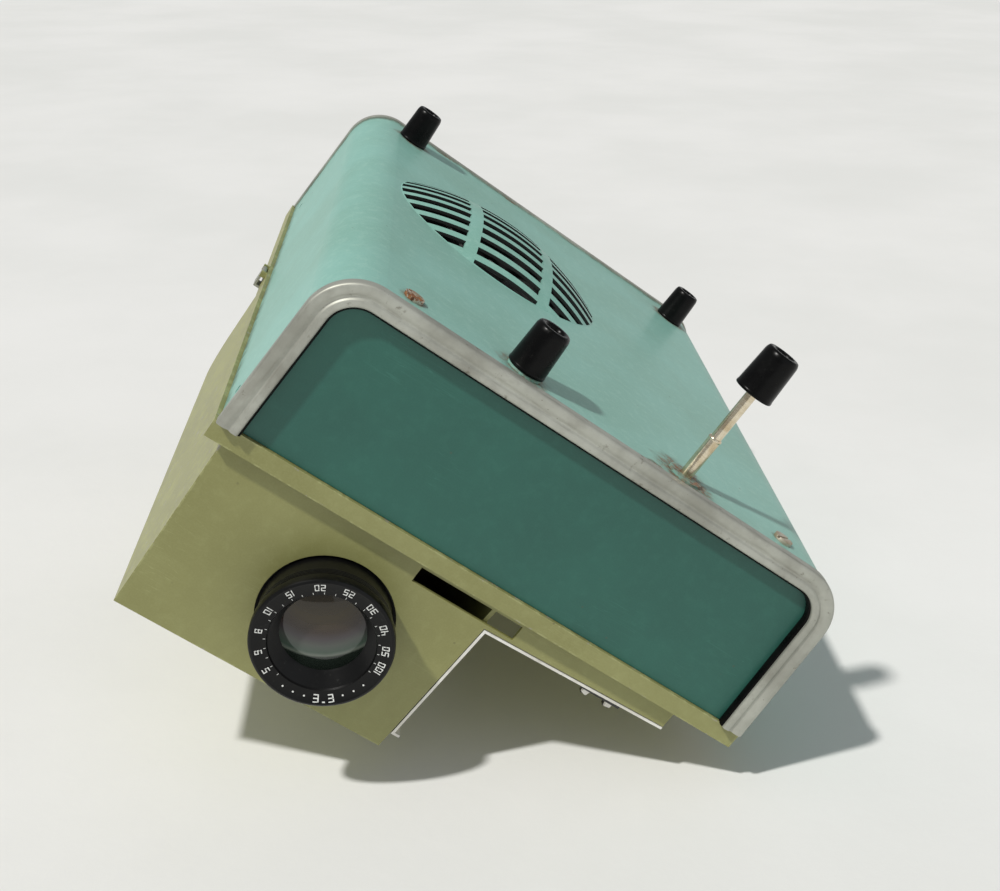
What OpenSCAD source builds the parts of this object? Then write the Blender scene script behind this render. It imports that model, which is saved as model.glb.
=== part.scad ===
// Two-tone slide projector: a painted base on four feet, a top deck and an
// offset lens and lamp housing. +X is the housing side, -Y is the lens end,
// +Z is up. The origin is on the underside, midway between the front legs.

/* [Base] */
// Width of the base across its underside corners
base_w = 212; // [206:1:220]
// Depth of the base from front trim to rear trim
base_d = 294; // [288:1:302]
// Height of the base from underside to the deck's lower edge
base_h = 66; // [64:1:70]
// Radius of the two long bottom edges
corner_r = 18; // [12:1:22]
// Outward lean of the base's sides in degrees
side_lean = 2.85; // [0:0.05:4]
// Thickness of the base's sheet metal
sheet_t = 1.2; // [0.8:0.1:1.6]
// Width of the front trim's face
trim_w = 7.2; // [5:0.1:9]
// Depth of the front panel behind the trim
panel_recess = 3; // [2:0.5:5]

/* [Deck and housing] */
// Height of the deck plate's edge
deck_edge = 6.8; // [5:0.1:9]
// Overhang of the deck plate past the base's sides
deck_over = 1.6; // [1:0.1:3]
// Height of the housing above the deck
housing_h = 72.3; // [71:0.1:76]
// Housing's outer side, from the centre line
housing_out = 103.4; // [101:0.1:105]
// Housing's inner side at the deck, from the centre line
housing_in = -9.5; // [-11:0.1:-8]
// Distance of the housing's front wall behind the trim
housing_set_back = 6.3; // [5:0.1:8]
// Length of the housing
housing_len = 240.5; // [236:0.5:244]
// Thickness of the housing's wall
wall_t = 1.6; // [1.2:0.1:2]

/* [Lens] */
// Optical axis, from the centre line
lens_x = 39.7; // [38:0.1:41]
// Optical axis above the deck
lens_up = 38.2; // [37:0.1:39]
// Radius of the lens's front ring
ring_r = 24.9; // [24.4:0.1:25.4]
// Radius of the lens barrel
barrel_r = 23.6; // [23:0.1:24]
// Reach of the lens in front of the housing
lens_reach = 17.7; // [15:0.1:19]

/* [Feet and legs] */
// Front legs, from the centre line
leg_x = 34; // [30:1:40]
// Front legs, behind the front trim
leg_set_back = 13.7; // [12:0.1:16]
// Rear feet, from the centre line
foot_x = 80.4; // [70:0.1:84]
// Rear feet, ahead of the rear trim
foot_set_in = 24.7; // [20:0.1:30]
// Length of a rubber foot
foot_len = 16.8; // [14:0.1:19]
// Radius of a rubber foot where it meets the base
foot_r = 7.2; // [6.5:0.1:8]
// How far the left leg stands out at rest
leg_out = 36; // [0:1:36]
// Furthest that a leg comes out
leg_travel = 45; // [40:1:46]

/* [Vent and blower] */
// Radius of the domed vent in the underside
vent_r = 50; // [46:0.1:51]
// Height of the vent's dome
vent_dome = 11.3; // [6:0.1:13]
// Vent and blower axis, from the centre line
vent_x = 35.2; // [34:0.1:36]
// Vent and blower axis, behind the front trim
vent_back = 157.5; // [157:0.1:158]
// Number of rows of vent slots
slot_rows = 12; // [11:1:12]
// Distance from one row of vent slots to the next
slot_pitch = 8.6; // [8.4:0.1:8.8]
// Width of a vent slot
slot_w = 5; // [3:0.1:5.4]
// Number of fan blades
blades = 5; // [3:1:7]

/* [Slide changer] */
// Travel of the slide carrier from gate to loading place
changer_travel = 95; // [90:1:96]
// Gate's place behind the front trim
gate_back = 112; // [111:0.5:113]

/* [Hidden] */
$fn = 64;

front_y = -leg_set_back;
rear_y = front_y + base_d;
vent_y = front_y + vent_back;
gate_y = front_y + gate_back;
deck_z0 = base_h + 0.2;
deck_z = deck_z0 + deck_edge;
deck_half = side_x(base_h) + deck_over;
house_y0 = front_y + housing_set_back;
house_y1 = house_y0 + housing_len;
house_z0 = deck_z + 0.1;
house_z1 = deck_z + housing_h;
lens_z = deck_z + lens_up;
lens_y0 = house_y0 - lens_reach;
leg_y = 0;
foot_y = rear_y - foot_set_in;
panel_y = front_y + panel_recess;
// clearance between pieces that only stand beside each other
gap = 0.3;
// radial clearance of a running fit
run_fit = 0.05;
// overshoot of a cutting tool
past = 1;
steel = [0.62, 0.62, 0.62];
mint = [0.50, 0.72, 0.65];
teal = [0.17, 0.38, 0.36];
tan_paint = [0.66, 0.63, 0.45];
black = [0.06, 0.06, 0.06];
bright = [0.75, 0.74, 0.72];
bronze = [0.60, 0.45, 0.25];

// half-width of the base's outside at height z, above the rounded edge
function side_x(z, inset = 0) =
    base_w / 2 - corner_r + (corner_r - inset) * cos(side_lean)
    + (z - corner_r + (corner_r - inset) * sin(side_lean)) * tan(side_lean);

// a flat shape in X and Z, drawn out along Y
module along_y(y0, length) {
    translate([0, y0 + length, 0]) rotate([90, 0, 0]) linear_extrude(length) children();
}

// a flat shape in Y and Z, drawn out along X
module along_x(x0, length) {
    translate([x0, 0, 0]) rotate([90, 0, 90]) linear_extrude(length) children();
}

// a block from its lowest corner to its highest corner
module block(low, high) {
    translate(low) cube(high - low);
}

// a rod along Z between two heights
module post(x, y, z0, z1, r) {
    translate([x, y, z0]) cylinder(r = r, h = z1 - z0);
}

// a rod along Y between two places
module spindle(x, z, y0, y1, r) {
    translate([x, y1, z]) rotate([90, 0, 0]) cylinder(r = r, h = y1 - y0);
}

// a rod along X between two places
module cross_pin(y, z, x0, x1, r) {
    translate([x0, y, z]) rotate([0, 90, 0]) cylinder(r = r, h = x1 - x0);
}

// a tube along Y on the optical axis
module optic_tube(y0, y1, r_out, r_in) {
    difference() {
        spindle(lens_x, lens_z, y0, y1, r_out);
        spindle(lens_x, lens_z, y0 - past, y1 + past, r_in);
    }
}

// the base's front outline, drawn in by inset and cut off at height top
module base_outline(inset, top) {
    r = corner_r - inset;
    cx = base_w / 2 - corner_r;
    tx = cx + r * cos(side_lean);
    tz = corner_r - r * sin(side_lean);
    for (s = [-1, 1]) translate([s * cx, corner_r]) circle(r);
    polygon([[-cx, inset], [cx, inset], [tx, tz], [side_x(top, inset), top],
        [-side_x(top, inset), top], [-tx, tz]]);
}

// a band of the base's outline between two insets
module outline_band(outer, inner, top) {
    difference() {
        base_outline(outer, top);
        base_outline(inner, top + past);
    }
}

// ---- base ----

vent_bar = 18;
bar_w = 5.4;
dome_r = (vent_r * vent_r + vent_dome * vent_dome) / (2 * vent_dome);

// the slots of the vent: rows across it, broken by two bars
module vent_slots() {
    low = -vent_dome - past;
    high = sheet_t + past;
    difference() {
        intersection() {
            post(vent_x, vent_y, low, high, vent_r - 0.5);
            for (i = [0 : slot_rows - 1]) {
                y = vent_y + (i - (slot_rows - 1) / 2) * slot_pitch;
                block([vent_x - vent_r, y - slot_w / 2, low], [vent_x + vent_r, y + slot_w / 2, high]);
            }
        }
        for (s = [-1, 1])
            block([vent_x + s * vent_bar - bar_w / 2, vent_y - vent_r, low - past],
                [vent_x + s * vent_bar + bar_w / 2, vent_y + vent_r, high + past]);
    }
}

// the vent's domed sheet, standing out below the underside
module vent_cap() {
    translate([vent_x, vent_y, 0]) rotate_extrude() intersection() {
        translate([0, dome_r - vent_dome]) difference() {
            circle(dome_r);
            circle(dome_r - sheet_t);
        }
        translate([0, -vent_dome - past]) square([vent_r + 4, vent_dome + past + sheet_t]);
    }
}

bush_r = 5;
foot_hole_r = 2.2;
side_hole_r = 1.6;
side_hole_z = base_h - 8;
base_screw_x = 78;
base_screw_y = front_y + 13.5;

module base_wrap() {
    color(mint) difference() {
        union() {
            difference() {
                along_y(front_y, base_d) outline_band(0, sheet_t, base_h);
                post(vent_x, vent_y, -past, sheet_t + past, vent_r - 1);
            }
            vent_cap();
        }
        vent_slots();
        for (s = [-1, 1]) {
            post(s * leg_x, leg_y, -past, sheet_t + past, bush_r + run_fit);
            post(s * foot_x, foot_y, -past, sheet_t + past, foot_hole_r);
            post(s * base_screw_x, base_screw_y, -past, sheet_t + past, foot_hole_r);
            for (y = [leg_y, foot_y])
                cross_pin(y, side_hole_z, s * base_w / 2 - 6, s * base_w / 2 + 6, side_hole_r);
        }
    }
}

trim_flange = 3.2;
trim_out = 0.9;

module front_trim() {
    color(bright) {
        along_y(front_y, trim_flange) outline_band(-trim_out, -run_fit, base_h);
        along_y(front_y - 0.9, 0.9) outline_band(-trim_out, trim_w, base_h);
        along_y(front_y - 1.7, 0.8) outline_band(-trim_out + 0.5, 1.6, base_h);
        along_y(front_y - 1.7, 0.8) outline_band(4.4, trim_w - 0.4, base_h);
    }
}

module rear_trim() {
    color(steel) {
        along_y(rear_y - 3, 3) outline_band(-trim_out, -run_fit, base_h);
        along_y(rear_y, 0.9) outline_band(-trim_out, 3.2, base_h);
    }
}

panel_flange = 2;

module front_panel() {
    color(teal) {
        along_y(panel_y, sheet_t) base_outline(sheet_t + gap, base_h);
        along_y(panel_y + sheet_t, panel_flange) outline_band(sheet_t + gap, 2 * sheet_t + gap, base_h);
    }
}

inlet_x = -62;
inlet_z = 33;
switch_x = -24;
switch_z = 33;

module rear_panel() {
    color(teal) difference() {
        union() {
            along_y(rear_y - panel_recess - sheet_t, sheet_t)
                base_outline(sheet_t + gap, base_h);
            along_y(rear_y - panel_recess - sheet_t - panel_flange, panel_flange)
                outline_band(sheet_t + gap, 2 * sheet_t + gap, base_h);
        }
        block([inlet_x - 12.3, rear_y - 8, inlet_z - 8.3], [inlet_x + 12.3, rear_y, inlet_z + 8.3]);
        spindle(switch_x, switch_z, rear_y - 8, rear_y, 6.2);
    }
}

// ---- deck ----

skirt_t = 2.4;
air_x = [[14, 29], [51, 66]];
air_y = [gate_y + 57, gate_y + 111];

module air_holes(z0, z1) {
    for (x = air_x) block([x[0], air_y[0], z0], [x[1], air_y[1], z1]);
}

deck_screw_spots = [[-98, front_y + 27], [-98, rear_y - 22], [98, rear_y - 22]];

module deck_plate() {
    color(tan_paint) post(catch_pivot[0], catch_pivot[1], deck_z - 0.5, deck_z + 5.5, 1);
    color(tan_paint) difference() {
        block([-deck_half, front_y + 1.4, deck_z0], [deck_half, rear_y, deck_z]);
        block([-deck_half + skirt_t, front_y + 1.4 + skirt_t, deck_z0 - past],
            [deck_half - skirt_t, rear_y - skirt_t, deck_z - wall_t]);
        air_holes(deck_z - wall_t - past, deck_z + past);
        for (p = deck_screw_spots) post(p[0], p[1], deck_z - 3, deck_z + past, 1.7);
    }
}

module deck_screws() {
    color(steel) for (p = deck_screw_spots) difference() {
        union() {
            post(p[0], p[1], deck_z + 0.05, deck_z + 1.6, 3.2);
            post(p[0], p[1], deck_z - 8, deck_z + 0.05, 1.6);
        }
        block([p[0] - 3.5, p[1] - 0.4, deck_z + 0.8], [p[0] + 3.5, p[1] + 0.4, deck_z + 2]);
    }
}

// ---- housing ----

housing_lean = 4.5;
rear_round = 18;

// the housing's front outline, drawn in by inset
module house_front(inset) {
    polygon([[housing_in + inset, house_z0], [housing_out - inset, house_z0],
        [housing_out - inset, house_z1 - inset],
        [housing_in + housing_lean + inset, house_z1 - inset]]);
}

// the housing's side outline, rounded at its rear top edge
module house_side(inset) {
    r = rear_round - inset;
    y0 = house_y0 + inset;
    y1 = house_y1 - inset;
    z1 = house_z1 - inset;
    translate([y0, house_z0 - past]) square([y1 - y0, z1 - r - house_z0 + past]);
    translate([y0, house_z0]) square([y1 - r - y0, z1 - house_z0]);
    translate([y1 - r, z1 - r]) circle(r);
}

module house_solid(inset) {
    intersection() {
        along_y(house_y0 - past, housing_len + 2 * past) house_front(inset);
        along_x(housing_in - past, housing_out - housing_in + 2 * past) house_side(inset);
    }
}

low_wall_x = -87;
low_wall_in = 11;
low_wall_out = 8.5;
slot_x0 = -19.8;
slot_x1 = 23;
slot_z0 = deck_z + 3;
slot_z1 = deck_z + 9.3;
carrier_z0 = deck_z + 8.2;
carrier_z1 = carrier_z0 + 60;
guide_half = 6;

module roof_slots() {
    for (i = [0 : 8])
        block([lens_x - 26, gate_y + 47 + i * 8, house_z1 - wall_t - past],
            [lens_x + 26, gate_y + 50.4 + i * 8, house_z1 + past]);
}

module housing_cover() {
    color(tan_paint) difference() {
        union() {
            difference() {
                house_solid(0);
                translate([0, 0, -past / 2]) house_solid(wall_t);
            }
            along_y(house_y0, wall_t)
                polygon([[low_wall_x, house_z0], [housing_in + wall_t, house_z0],
                    [housing_in + wall_t, deck_z + low_wall_in], [low_wall_x, deck_z + low_wall_out]]);
        }
        spindle(lens_x, lens_z, house_y0 - past, house_y0 + wall_t + past, barrel_r + 1);
        block([slot_x0, house_y0 - past, slot_z0], [slot_x1, house_y0 + wall_t + past, slot_z1]);
        block([housing_in - 3, gate_y - guide_half - gap, house_z0 - past],
            [housing_in + 8, gate_y + guide_half + gap, carrier_z0 + 3.6]);
        block([housing_in - 3, gate_y - 3, house_z0],
            [housing_in + 8, gate_y + 3, carrier_z1 + 0.8]);
        roof_slots();
    }
}

liner_t = 1;
liner_depth = 10;
liner_proud = 0.2;
liner_top = deck_z + 65.4;

// thin bright strip that lines the step in the housing's front wall
module cutout_liner() {
    lean = housing_lean / (house_z1 - house_z0);
    x_low = housing_in + lean * low_wall_in - gap;
    x_top = housing_in + lean * (liner_top - house_z0) - gap;
    z_in = deck_z + low_wall_in + gap;
    z_out = deck_z + low_wall_out + gap;
    color(bright) {
        along_y(house_y0 - liner_proud, liner_depth) {
            polygon([[x_low, z_in], [x_top, liner_top], [x_top - liner_t, liner_top],
                [x_low - liner_t, z_in]]);
            translate([x_top - 3.4, liner_top - liner_t]) square([3.4, liner_t]);
        }
        along_y(house_y0 - liner_proud, wall_t + 2 * liner_proud)
            polygon([[x_low, z_in], [x_low, z_in + liner_t], [low_wall_x, z_out + liner_t],
                [low_wall_x, z_out]]);
    }
}

// ---- side latches ----

latch_y = front_y + 173;
latch_w = 8;
latch_t = 1;
latch_pin_r = 0.6;
latch_eye_r = 1.1;
latch_grip = 2.4;
latch_pin_x = deck_half + latch_eye_r + 0.35;
latch_pin_z = deck_z0 + 1.4;
cheek_out = 2.6;
cheek_h = 2.8;
cheek_y = latch_w / 2 + 0.5;
cheek_t = 1;
hook_z = deck_z + 0.5;

// a block on one side of the part; s is the side, and x0 and x1 are its distances out
module side_block(s, x0, x1, y0, y1, z0, z1) {
    block([min(s * x0, s * x1), y0, z0], [max(s * x0, s * x1), y1, z1]);
}

module latch_brackets() {
    pin_half = cheek_y + cheek_t;
    color(steel) for (s = [-1, 1]) {
        for (y = [latch_y - cheek_y - cheek_t, latch_y + cheek_y]) difference() {
            side_block(s, deck_half + 0.05, deck_half + cheek_out, y, y + cheek_t,
                deck_z0, deck_z0 + cheek_h);
            spindle(s * latch_pin_x, latch_pin_z, y - past, y + cheek_t + past, latch_pin_r);
        }
        spindle(s * latch_pin_x, latch_pin_z, latch_y - pin_half, latch_y + pin_half, latch_pin_r);
    }
}

// a hooked tab that swings on its pin and grips the deck's edge; s is its side
module latch(s) {
    y0 = latch_y - latch_w / 2;
    y1 = latch_y + latch_w / 2;
    out = latch_pin_x + latch_t;
    difference() {
        union() {
            spindle(s * latch_pin_x, latch_pin_z, y0, y1, latch_eye_r);
            side_block(s, latch_pin_x, out, y0, y1, latch_pin_z, hook_z + latch_t);
            side_block(s, deck_half - latch_grip, out, y0, y1, hook_z, hook_z + latch_t);
        }
        spindle(s * latch_pin_x, latch_pin_z, y0 - past, y1 + past, latch_pin_r + run_fit);
    }
}

module right_latch() {
    color(tan_paint) latch(1);
}

module left_latch() {
    color(tan_paint) latch(-1);
}

// ---- legs and feet ----

tube_r = 2.4;
rod_r = 2;
rod_len = 20;
bush_top = 7;
washer_t = 0.8;
washer_r = 6.6;
rod_grip = 8;
stop_r = 3.4;
member_half = 52;
member_t = 1.5;
member_h = 14;
member_y0 = leg_y - 7;
member_y1 = leg_y + 9;
foot_bore_r = 3.2;
foot_floor = 5;
foot_top = -washer_t - gap;
stop_t = 2.5;
tube_len = leg_travel + bush_top + 2 * gap + stop_t - rod_len - foot_top;

module leg_crossmember() {
    color(steel) difference() {
        union() {
            block([-member_half, member_y0, sheet_t + 0.05],
                [member_half, member_y1, sheet_t + 0.05 + member_t]);
            block([-member_half, member_y1 - member_t, sheet_t + 0.05],
                [member_half, member_y1, sheet_t + member_h]);
        }
        for (s = [-1, 1])
            post(s * leg_x, leg_y, 0, sheet_t + member_t + past, bush_r + run_fit);
    }
}

module leg_bushes() {
    color(bronze) for (s = [-1, 1]) difference() {
        union() {
            post(s * leg_x, leg_y, -washer_t, -0.02, washer_r);
            post(s * leg_x, leg_y, -washer_t, bush_top, bush_r);
        }
        post(s * leg_x, leg_y, -washer_t - past, bush_top + past, tube_r + run_fit);
    }
}

// a leg's stepped rod, drawn in its pushed-in place
module leg_rod() {
    post(0, 0, foot_top - rod_grip, foot_top + rod_len, rod_r);
    post(0, 0, foot_top + rod_len, foot_top + rod_len + tube_len, tube_r);
}

// a tapered rubber foot with a hollow end, hanging from height z
module rubber_foot(z) {
    translate([0, 0, z]) rotate_extrude() polygon([[0, 0], [foot_r, 0], [foot_r, -1.5],
        [foot_r - 0.8, -foot_len + 1], [foot_r - 1.6, -foot_len],
        [foot_bore_r + 0.4, -foot_len], [foot_bore_r, -foot_len + foot_floor],
        [0, -foot_len + foot_floor]]);
}

// the rubber foot of a leg, with a socket for its rod
module leg_foot() {
    difference() {
        rubber_foot(foot_top);
        post(0, 0, foot_top - rod_grip - 0.05, foot_top + past, rod_r + 0.01);
    }
}

// the clip that stops a leg from coming out, on top of its rod
module leg_stop() {
    difference() {
        post(0, 0, foot_top + rod_len + tube_len - stop_t, foot_top + rod_len + tube_len, stop_r);
        post(0, 0, 0, base_h, tube_r + 0.01);
    }
}

module left_leg_place() {
    translate([-leg_x, leg_y, -leg_out]) children();
}

module right_leg_place() {
    translate([leg_x, leg_y, 0]) children();
}

module left_leg_rod() {
    color(bronze) left_leg_place() leg_rod();
}

module left_leg_foot() {
    color(black) left_leg_place() leg_foot();
}

module left_leg_stop() {
    color(steel) left_leg_place() leg_stop();
}

module right_leg_rod() {
    color(bronze) right_leg_place() leg_rod();
}

module right_leg_foot() {
    color(black) right_leg_place() leg_foot();
}

module right_leg_stop() {
    color(steel) right_leg_place() leg_stop();
}

module rear_feet() {
    color(black) for (s = [-1, 1]) difference() {
        translate([s * foot_x, foot_y, 0]) rubber_foot(-0.05);
        post(s * foot_x, foot_y, -foot_len - past, past, foot_hole_r);
    }
}

foot_screw_r = 2;
foot_screw_top = 6;
foot_head_z = -foot_len + foot_floor - 0.1;
foot_head_h = 1.9;
foot_nut_r = 4.6;
foot_nut_h = 3;

module rear_foot_screws() {
    color(steel) for (s = [-1, 1]) {
        post(s * foot_x, foot_y, foot_head_z, foot_screw_top, foot_screw_r);
        post(s * foot_x, foot_y, foot_head_z - foot_head_h, foot_head_z, foot_bore_r - 0.2);
        post(s * foot_x, foot_y, sheet_t + 0.05, sheet_t + foot_nut_h, foot_nut_r);
    }
}

module base_screws() {
    color(steel) for (s = [-1, 1]) difference() {
        union() {
            post(s * base_screw_x, base_screw_y, -1.4, -0.03, 3.6);
            post(s * base_screw_x, base_screw_y, -0.5, 8, 1.9);
        }
        translate([s * base_screw_x, base_screw_y, -1.5]) rotate(s * 35)
            translate([-4, -0.5, 0]) cube([8, 1, 0.9]);
    }
}

// ---- blower ----

fan_r = 46;
shaft_r = 2;
// hole for a shaft or pin that is pressed in
press_fit = 0.01;
shroud_r = 52;
shroud_top = 24;
hub_r = 9;
hub_z = [7, 22];
blade_w = 18;
blade_t = 1.2;
blade_tilt = 35;
rotor_z = [33, 49];
rotor_r = 11;
core_half = 25;
plate_half = 24;
bracket_z = 28;
plate_z = 52;
plate_t = 1.5;
bearing_r = 4.45;
bearing_h = 3;
post_r = 2;
pin_r = 1.55;
coil_half = 16;
yoke_half = 8;
bracket_reach = 58;

module fan_shroud() {
    color(steel) difference() {
        post(vent_x, vent_y, sheet_t + 0.05, shroud_top, shroud_r);
        post(vent_x, vent_y, 0, shroud_top + past, shroud_r - 1);
    }
}

module fan_impeller() {
    color(bright) difference() {
        union() {
            post(vent_x, vent_y, hub_z[0], hub_z[1], hub_r);
            for (i = [0 : blades - 1])
                translate([vent_x, vent_y, (hub_z[0] + hub_z[1]) / 2]) rotate(i * 360 / blades)
                    translate([hub_r - 1, 0, 0]) rotate([blade_tilt, 0, 0])
                        translate([0, -blade_w / 2, -blade_t / 2])
                            cube([fan_r - hub_r, blade_w, blade_t]);
        }
        post(vent_x, vent_y, hub_z[0] - past, hub_z[1] + past, shaft_r + press_fit);
    }
}

module fan_shaft() {
    color(steel) post(vent_x, vent_y, 5, plate_z + 4, shaft_r);
}

module motor_rotor() {
    color(steel) difference() {
        post(vent_x, vent_y, rotor_z[0], rotor_z[1], rotor_r);
        post(vent_x, vent_y, rotor_z[0] - past, rotor_z[1] + past, shaft_r + press_fit);
    }
}

post_spots = [for (sx = [-1, 1]) for (sy = [-1, 1]) [vent_x + 19 * sx, vent_y + 19 * sy]];

module motor_stator() {
    color(steel) difference() {
        block([vent_x - core_half, vent_y - core_half, rotor_z[0]],
            [vent_x + core_half, vent_y + core_half, rotor_z[1]]);
        post(vent_x, vent_y, rotor_z[0] - past, rotor_z[1] + past, rotor_r + 0.5);
        for (p = post_spots)
            post(p[0], p[1], rotor_z[0] - past, rotor_z[1] + past, post_r + 0.2);
    }
}

module motor_coil() {
    color(bronze) difference() {
        block([vent_x + core_half + gap, vent_y - coil_half, rotor_z[0] - 3],
            [vent_x + core_half + 19, vent_y + coil_half, rotor_z[1] + 3]);
        block([vent_x + core_half, vent_y - yoke_half, rotor_z[0] + 2],
            [vent_x + core_half + 20, vent_y + yoke_half, rotor_z[1] - 2]);
    }
}

// a strip right across the motor bracket, between two distances behind the motor's axis
module bracket_strip(y0, y1, z0, z1) {
    block([vent_x - plate_half, vent_y + y0, z0], [vent_x + plate_half, vent_y + y1, z1]);
}

module motor_bracket() {
    low = sheet_t + 0.05;
    top = bracket_z + plate_t;
    leg_end = bracket_reach + 8.5;
    color(steel) difference() {
        union() {
            bracket_strip(-bracket_reach, bracket_reach, bracket_z, top);
            bracket_strip(-bracket_reach, plate_t - bracket_reach, low, top);
            bracket_strip(bracket_reach - plate_t, bracket_reach, low, top);
            bracket_strip(-leg_end, plate_t - bracket_reach, low, low + plate_t);
            bracket_strip(bracket_reach - plate_t, leg_end, low, low + plate_t);
        }
        post(vent_x, vent_y, bracket_z - past, top + past, bearing_r + run_fit);
        for (p = post_spots) post(p[0], p[1], bracket_z - past, top + past, pin_r + run_fit);
        for (s = [-1, 1]) post(vent_x, vent_y + s * 38, bracket_z - past, top + past, 10);
    }
}

module motor_posts() {
    color(steel) for (p = post_spots) {
        post(p[0], p[1], bracket_z - 2, bracket_z + plate_t, pin_r);
        post(p[0], p[1], bracket_z + plate_t, plate_z, post_r);
        post(p[0], p[1], plate_z, plate_z + 2 * plate_t, pin_r);
    }
}

module motor_top_plate() {
    color(steel) difference() {
        bracket_strip(-plate_half, plate_half, plate_z, plate_z + plate_t);
        post(vent_x, vent_y, plate_z - past, plate_z + plate_t + past, bearing_r + run_fit);
        for (p = post_spots)
            post(p[0], p[1], plate_z - past, plate_z + plate_t + past, pin_r + run_fit);
    }
}

module motor_bearings() {
    tops = [bracket_z + plate_t, plate_z + bearing_h];
    color(bronze) for (z = tops) difference() {
        post(vent_x, vent_y, z - bearing_h, z, bearing_r);
        post(vent_x, vent_y, z - bearing_h - past, z + past, shaft_r + run_fit);
    }
}

// ---- optics ----

bench_z = deck_z + 1.6;

module optical_bench() {
    color(steel) difference() {
        union() {
            block([lens_x - 34, gate_y + 7, deck_z + 0.05], [lens_x + 34, gate_y + 123, bench_z]);
            block([lens_x - 34, gate_y + 121.5, deck_z + 0.05],
                [lens_x + 34, gate_y + 123, deck_z + 20]);
        }
        air_holes(deck_z - past, bench_z + past);
    }
}

aperture = 36;

module gate_frame() {
    color(black) difference() {
        block([5.3, gate_y - 6, deck_z + 0.05], [75, gate_y + 6, carrier_z1 + 1.8]);
        block([4, gate_y - 2.3, carrier_z0 - gap], [76, gate_y + 2.3, carrier_z1 + gap]);
        block([lens_x - aperture / 2, gate_y - 7, lens_z - aperture / 2],
            [lens_x + aperture / 2, gate_y + 7, lens_z + aperture / 2]);
    }
}

// a lens blank on the optical axis: flat on its rear, domed towards the front
module domed_lens(y_flat, r, edge, dome) {
    ball_r = (r * r + dome * dome) / (2 * dome);
    translate([lens_x, y_flat, lens_z]) rotate([90, 0, 0]) intersection() {
        cylinder(r = r, h = edge + dome);
        translate([0, 0, edge + dome - ball_r]) sphere(ball_r);
    }
}

cell_y = [gate_y + 9, gate_y + 43];
cell_r = 27;

module condenser_cell() {
    color(steel) difference() {
        union() {
            spindle(lens_x, lens_z, cell_y[0], cell_y[1], cell_r);
            block([lens_x - 20, cell_y[0] + 4, bench_z + 0.05], [lens_x + 20, cell_y[1] - 4, lens_z - 20]);
        }
        spindle(lens_x, lens_z, cell_y[0] - past, cell_y[1] + past, cell_r - 2);
        block([lens_x - 16, cell_y[0], bench_z + 3], [lens_x + 16, cell_y[1], lens_z - 24]);
        post(lens_x, (cell_y[0] + cell_y[1]) / 2, lens_z + 20, lens_z + 30, 3);
    }
}

module front_condenser() {
    color([0.8, 0.9, 0.9, 0.5]) domed_lens(cell_y[0] + 13, cell_r - 2.05, 3, 7);
}

module rear_condenser() {
    color([0.8, 0.9, 0.9, 0.5]) domed_lens(cell_y[1] - 2, cell_r - 2.05, 3, 7);
}

heat_y = gate_y + 45.5;

module heat_glass() {
    color([0.6, 0.85, 0.8, 0.5])
        block([lens_x - 24, heat_y + 2, lens_z - 24], [lens_x + 24, heat_y + 4.8, lens_z + 24]);
}

module heat_glass_holder() {
    color(steel) difference() {
        block([lens_x - 28, heat_y, bench_z + 0.05], [lens_x + 28, heat_y + 6.8, lens_z + 20]);
        block([lens_x - 24.2, heat_y + 1.8, lens_z - 24.05], [lens_x + 24.2, heat_y + 5, lens_z + 30]);
        block([lens_x - 21, heat_y - past, lens_z - 21], [lens_x + 21, heat_y + 6.8 + past, lens_z + 30]);
    }
}

lamp_y = gate_y + 77;

module reflector() {
    color(bright) {
        translate([lens_x, lamp_y + 2, lens_z]) rotate([-90, 0, 0]) intersection() {
            difference() {
                sphere(31);
                sphere(30);
            }
            translate([0, 0, 20]) cylinder(r = 26, h = 12);
        }
        block([lens_x - 4, lamp_y + 34, bench_z + 0.05], [lens_x + 4, lamp_y + 35.4, lens_z - 2]);
        spindle(lens_x, lens_z - 4, lamp_y + 32.7, lamp_y + 34.6, 3);
    }
}

lamp_r = 13;

module lamp_bulb() {
    color([0.9, 0.9, 0.85, 0.5]) {
        post(lens_x, lamp_y, bench_z + 24.5, house_z1 - 20, lamp_r);
        translate([lens_x, lamp_y, house_z1 - 20]) intersection() {
            sphere(lamp_r);
            cylinder(r = lamp_r + past, h = lamp_r + past);
        }
    }
}

module lamp_cap() {
    color(bronze) {
        post(lens_x, lamp_y, bench_z + 6, bench_z + 24.4, 11);
        post(lens_x, lamp_y, bench_z + 22.4, bench_z + 24.4, 13.5);
    }
}

module lamp_socket() {
    color([0.85, 0.82, 0.75]) difference() {
        union() {
            post(lens_x, lamp_y, bench_z + 0.05, bench_z + 20, 14);
            block([lens_x - 9, lamp_y - 24, bench_z + 0.05], [lens_x + 9, lamp_y + 24, bench_z + 3]);
        }
        post(lens_x, lamp_y, bench_z + 5.9, bench_z + 21, 11.2);
    }
}

// sheet shield round the lamp, open above and towards the condensers
module lamp_shield() {
    color(steel) {
        for (s = [-1, 1])
            block([lens_x + s * 32 - 0.5, lamp_y - 22, bench_z + 0.05],
                [lens_x + s * 32 + 0.5, lamp_y + 42, house_z1 - 6]);
        block([lens_x - 32.5, lamp_y + 41, bench_z + 0.05], [lens_x + 32.5, lamp_y + 42, house_z1 - 6]);
    }
}

// ---- lens and focusing ----

bush_y = [house_y0 + wall_t + 0.05, house_y0 + 24];
follower_y = house_y0 + 38;
guide_dx = -31;

module lens_bush() {
    color(black) difference() {
        union() {
            spindle(lens_x, lens_z, bush_y[0], bush_y[1], barrel_r + 2.2);
            spindle(lens_x, lens_z, bush_y[0], bush_y[0] + 2, barrel_r + 6);
        }
        spindle(lens_x, lens_z, bush_y[0] - past, bush_y[1] + past, barrel_r + run_fit);
    }
}

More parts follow.
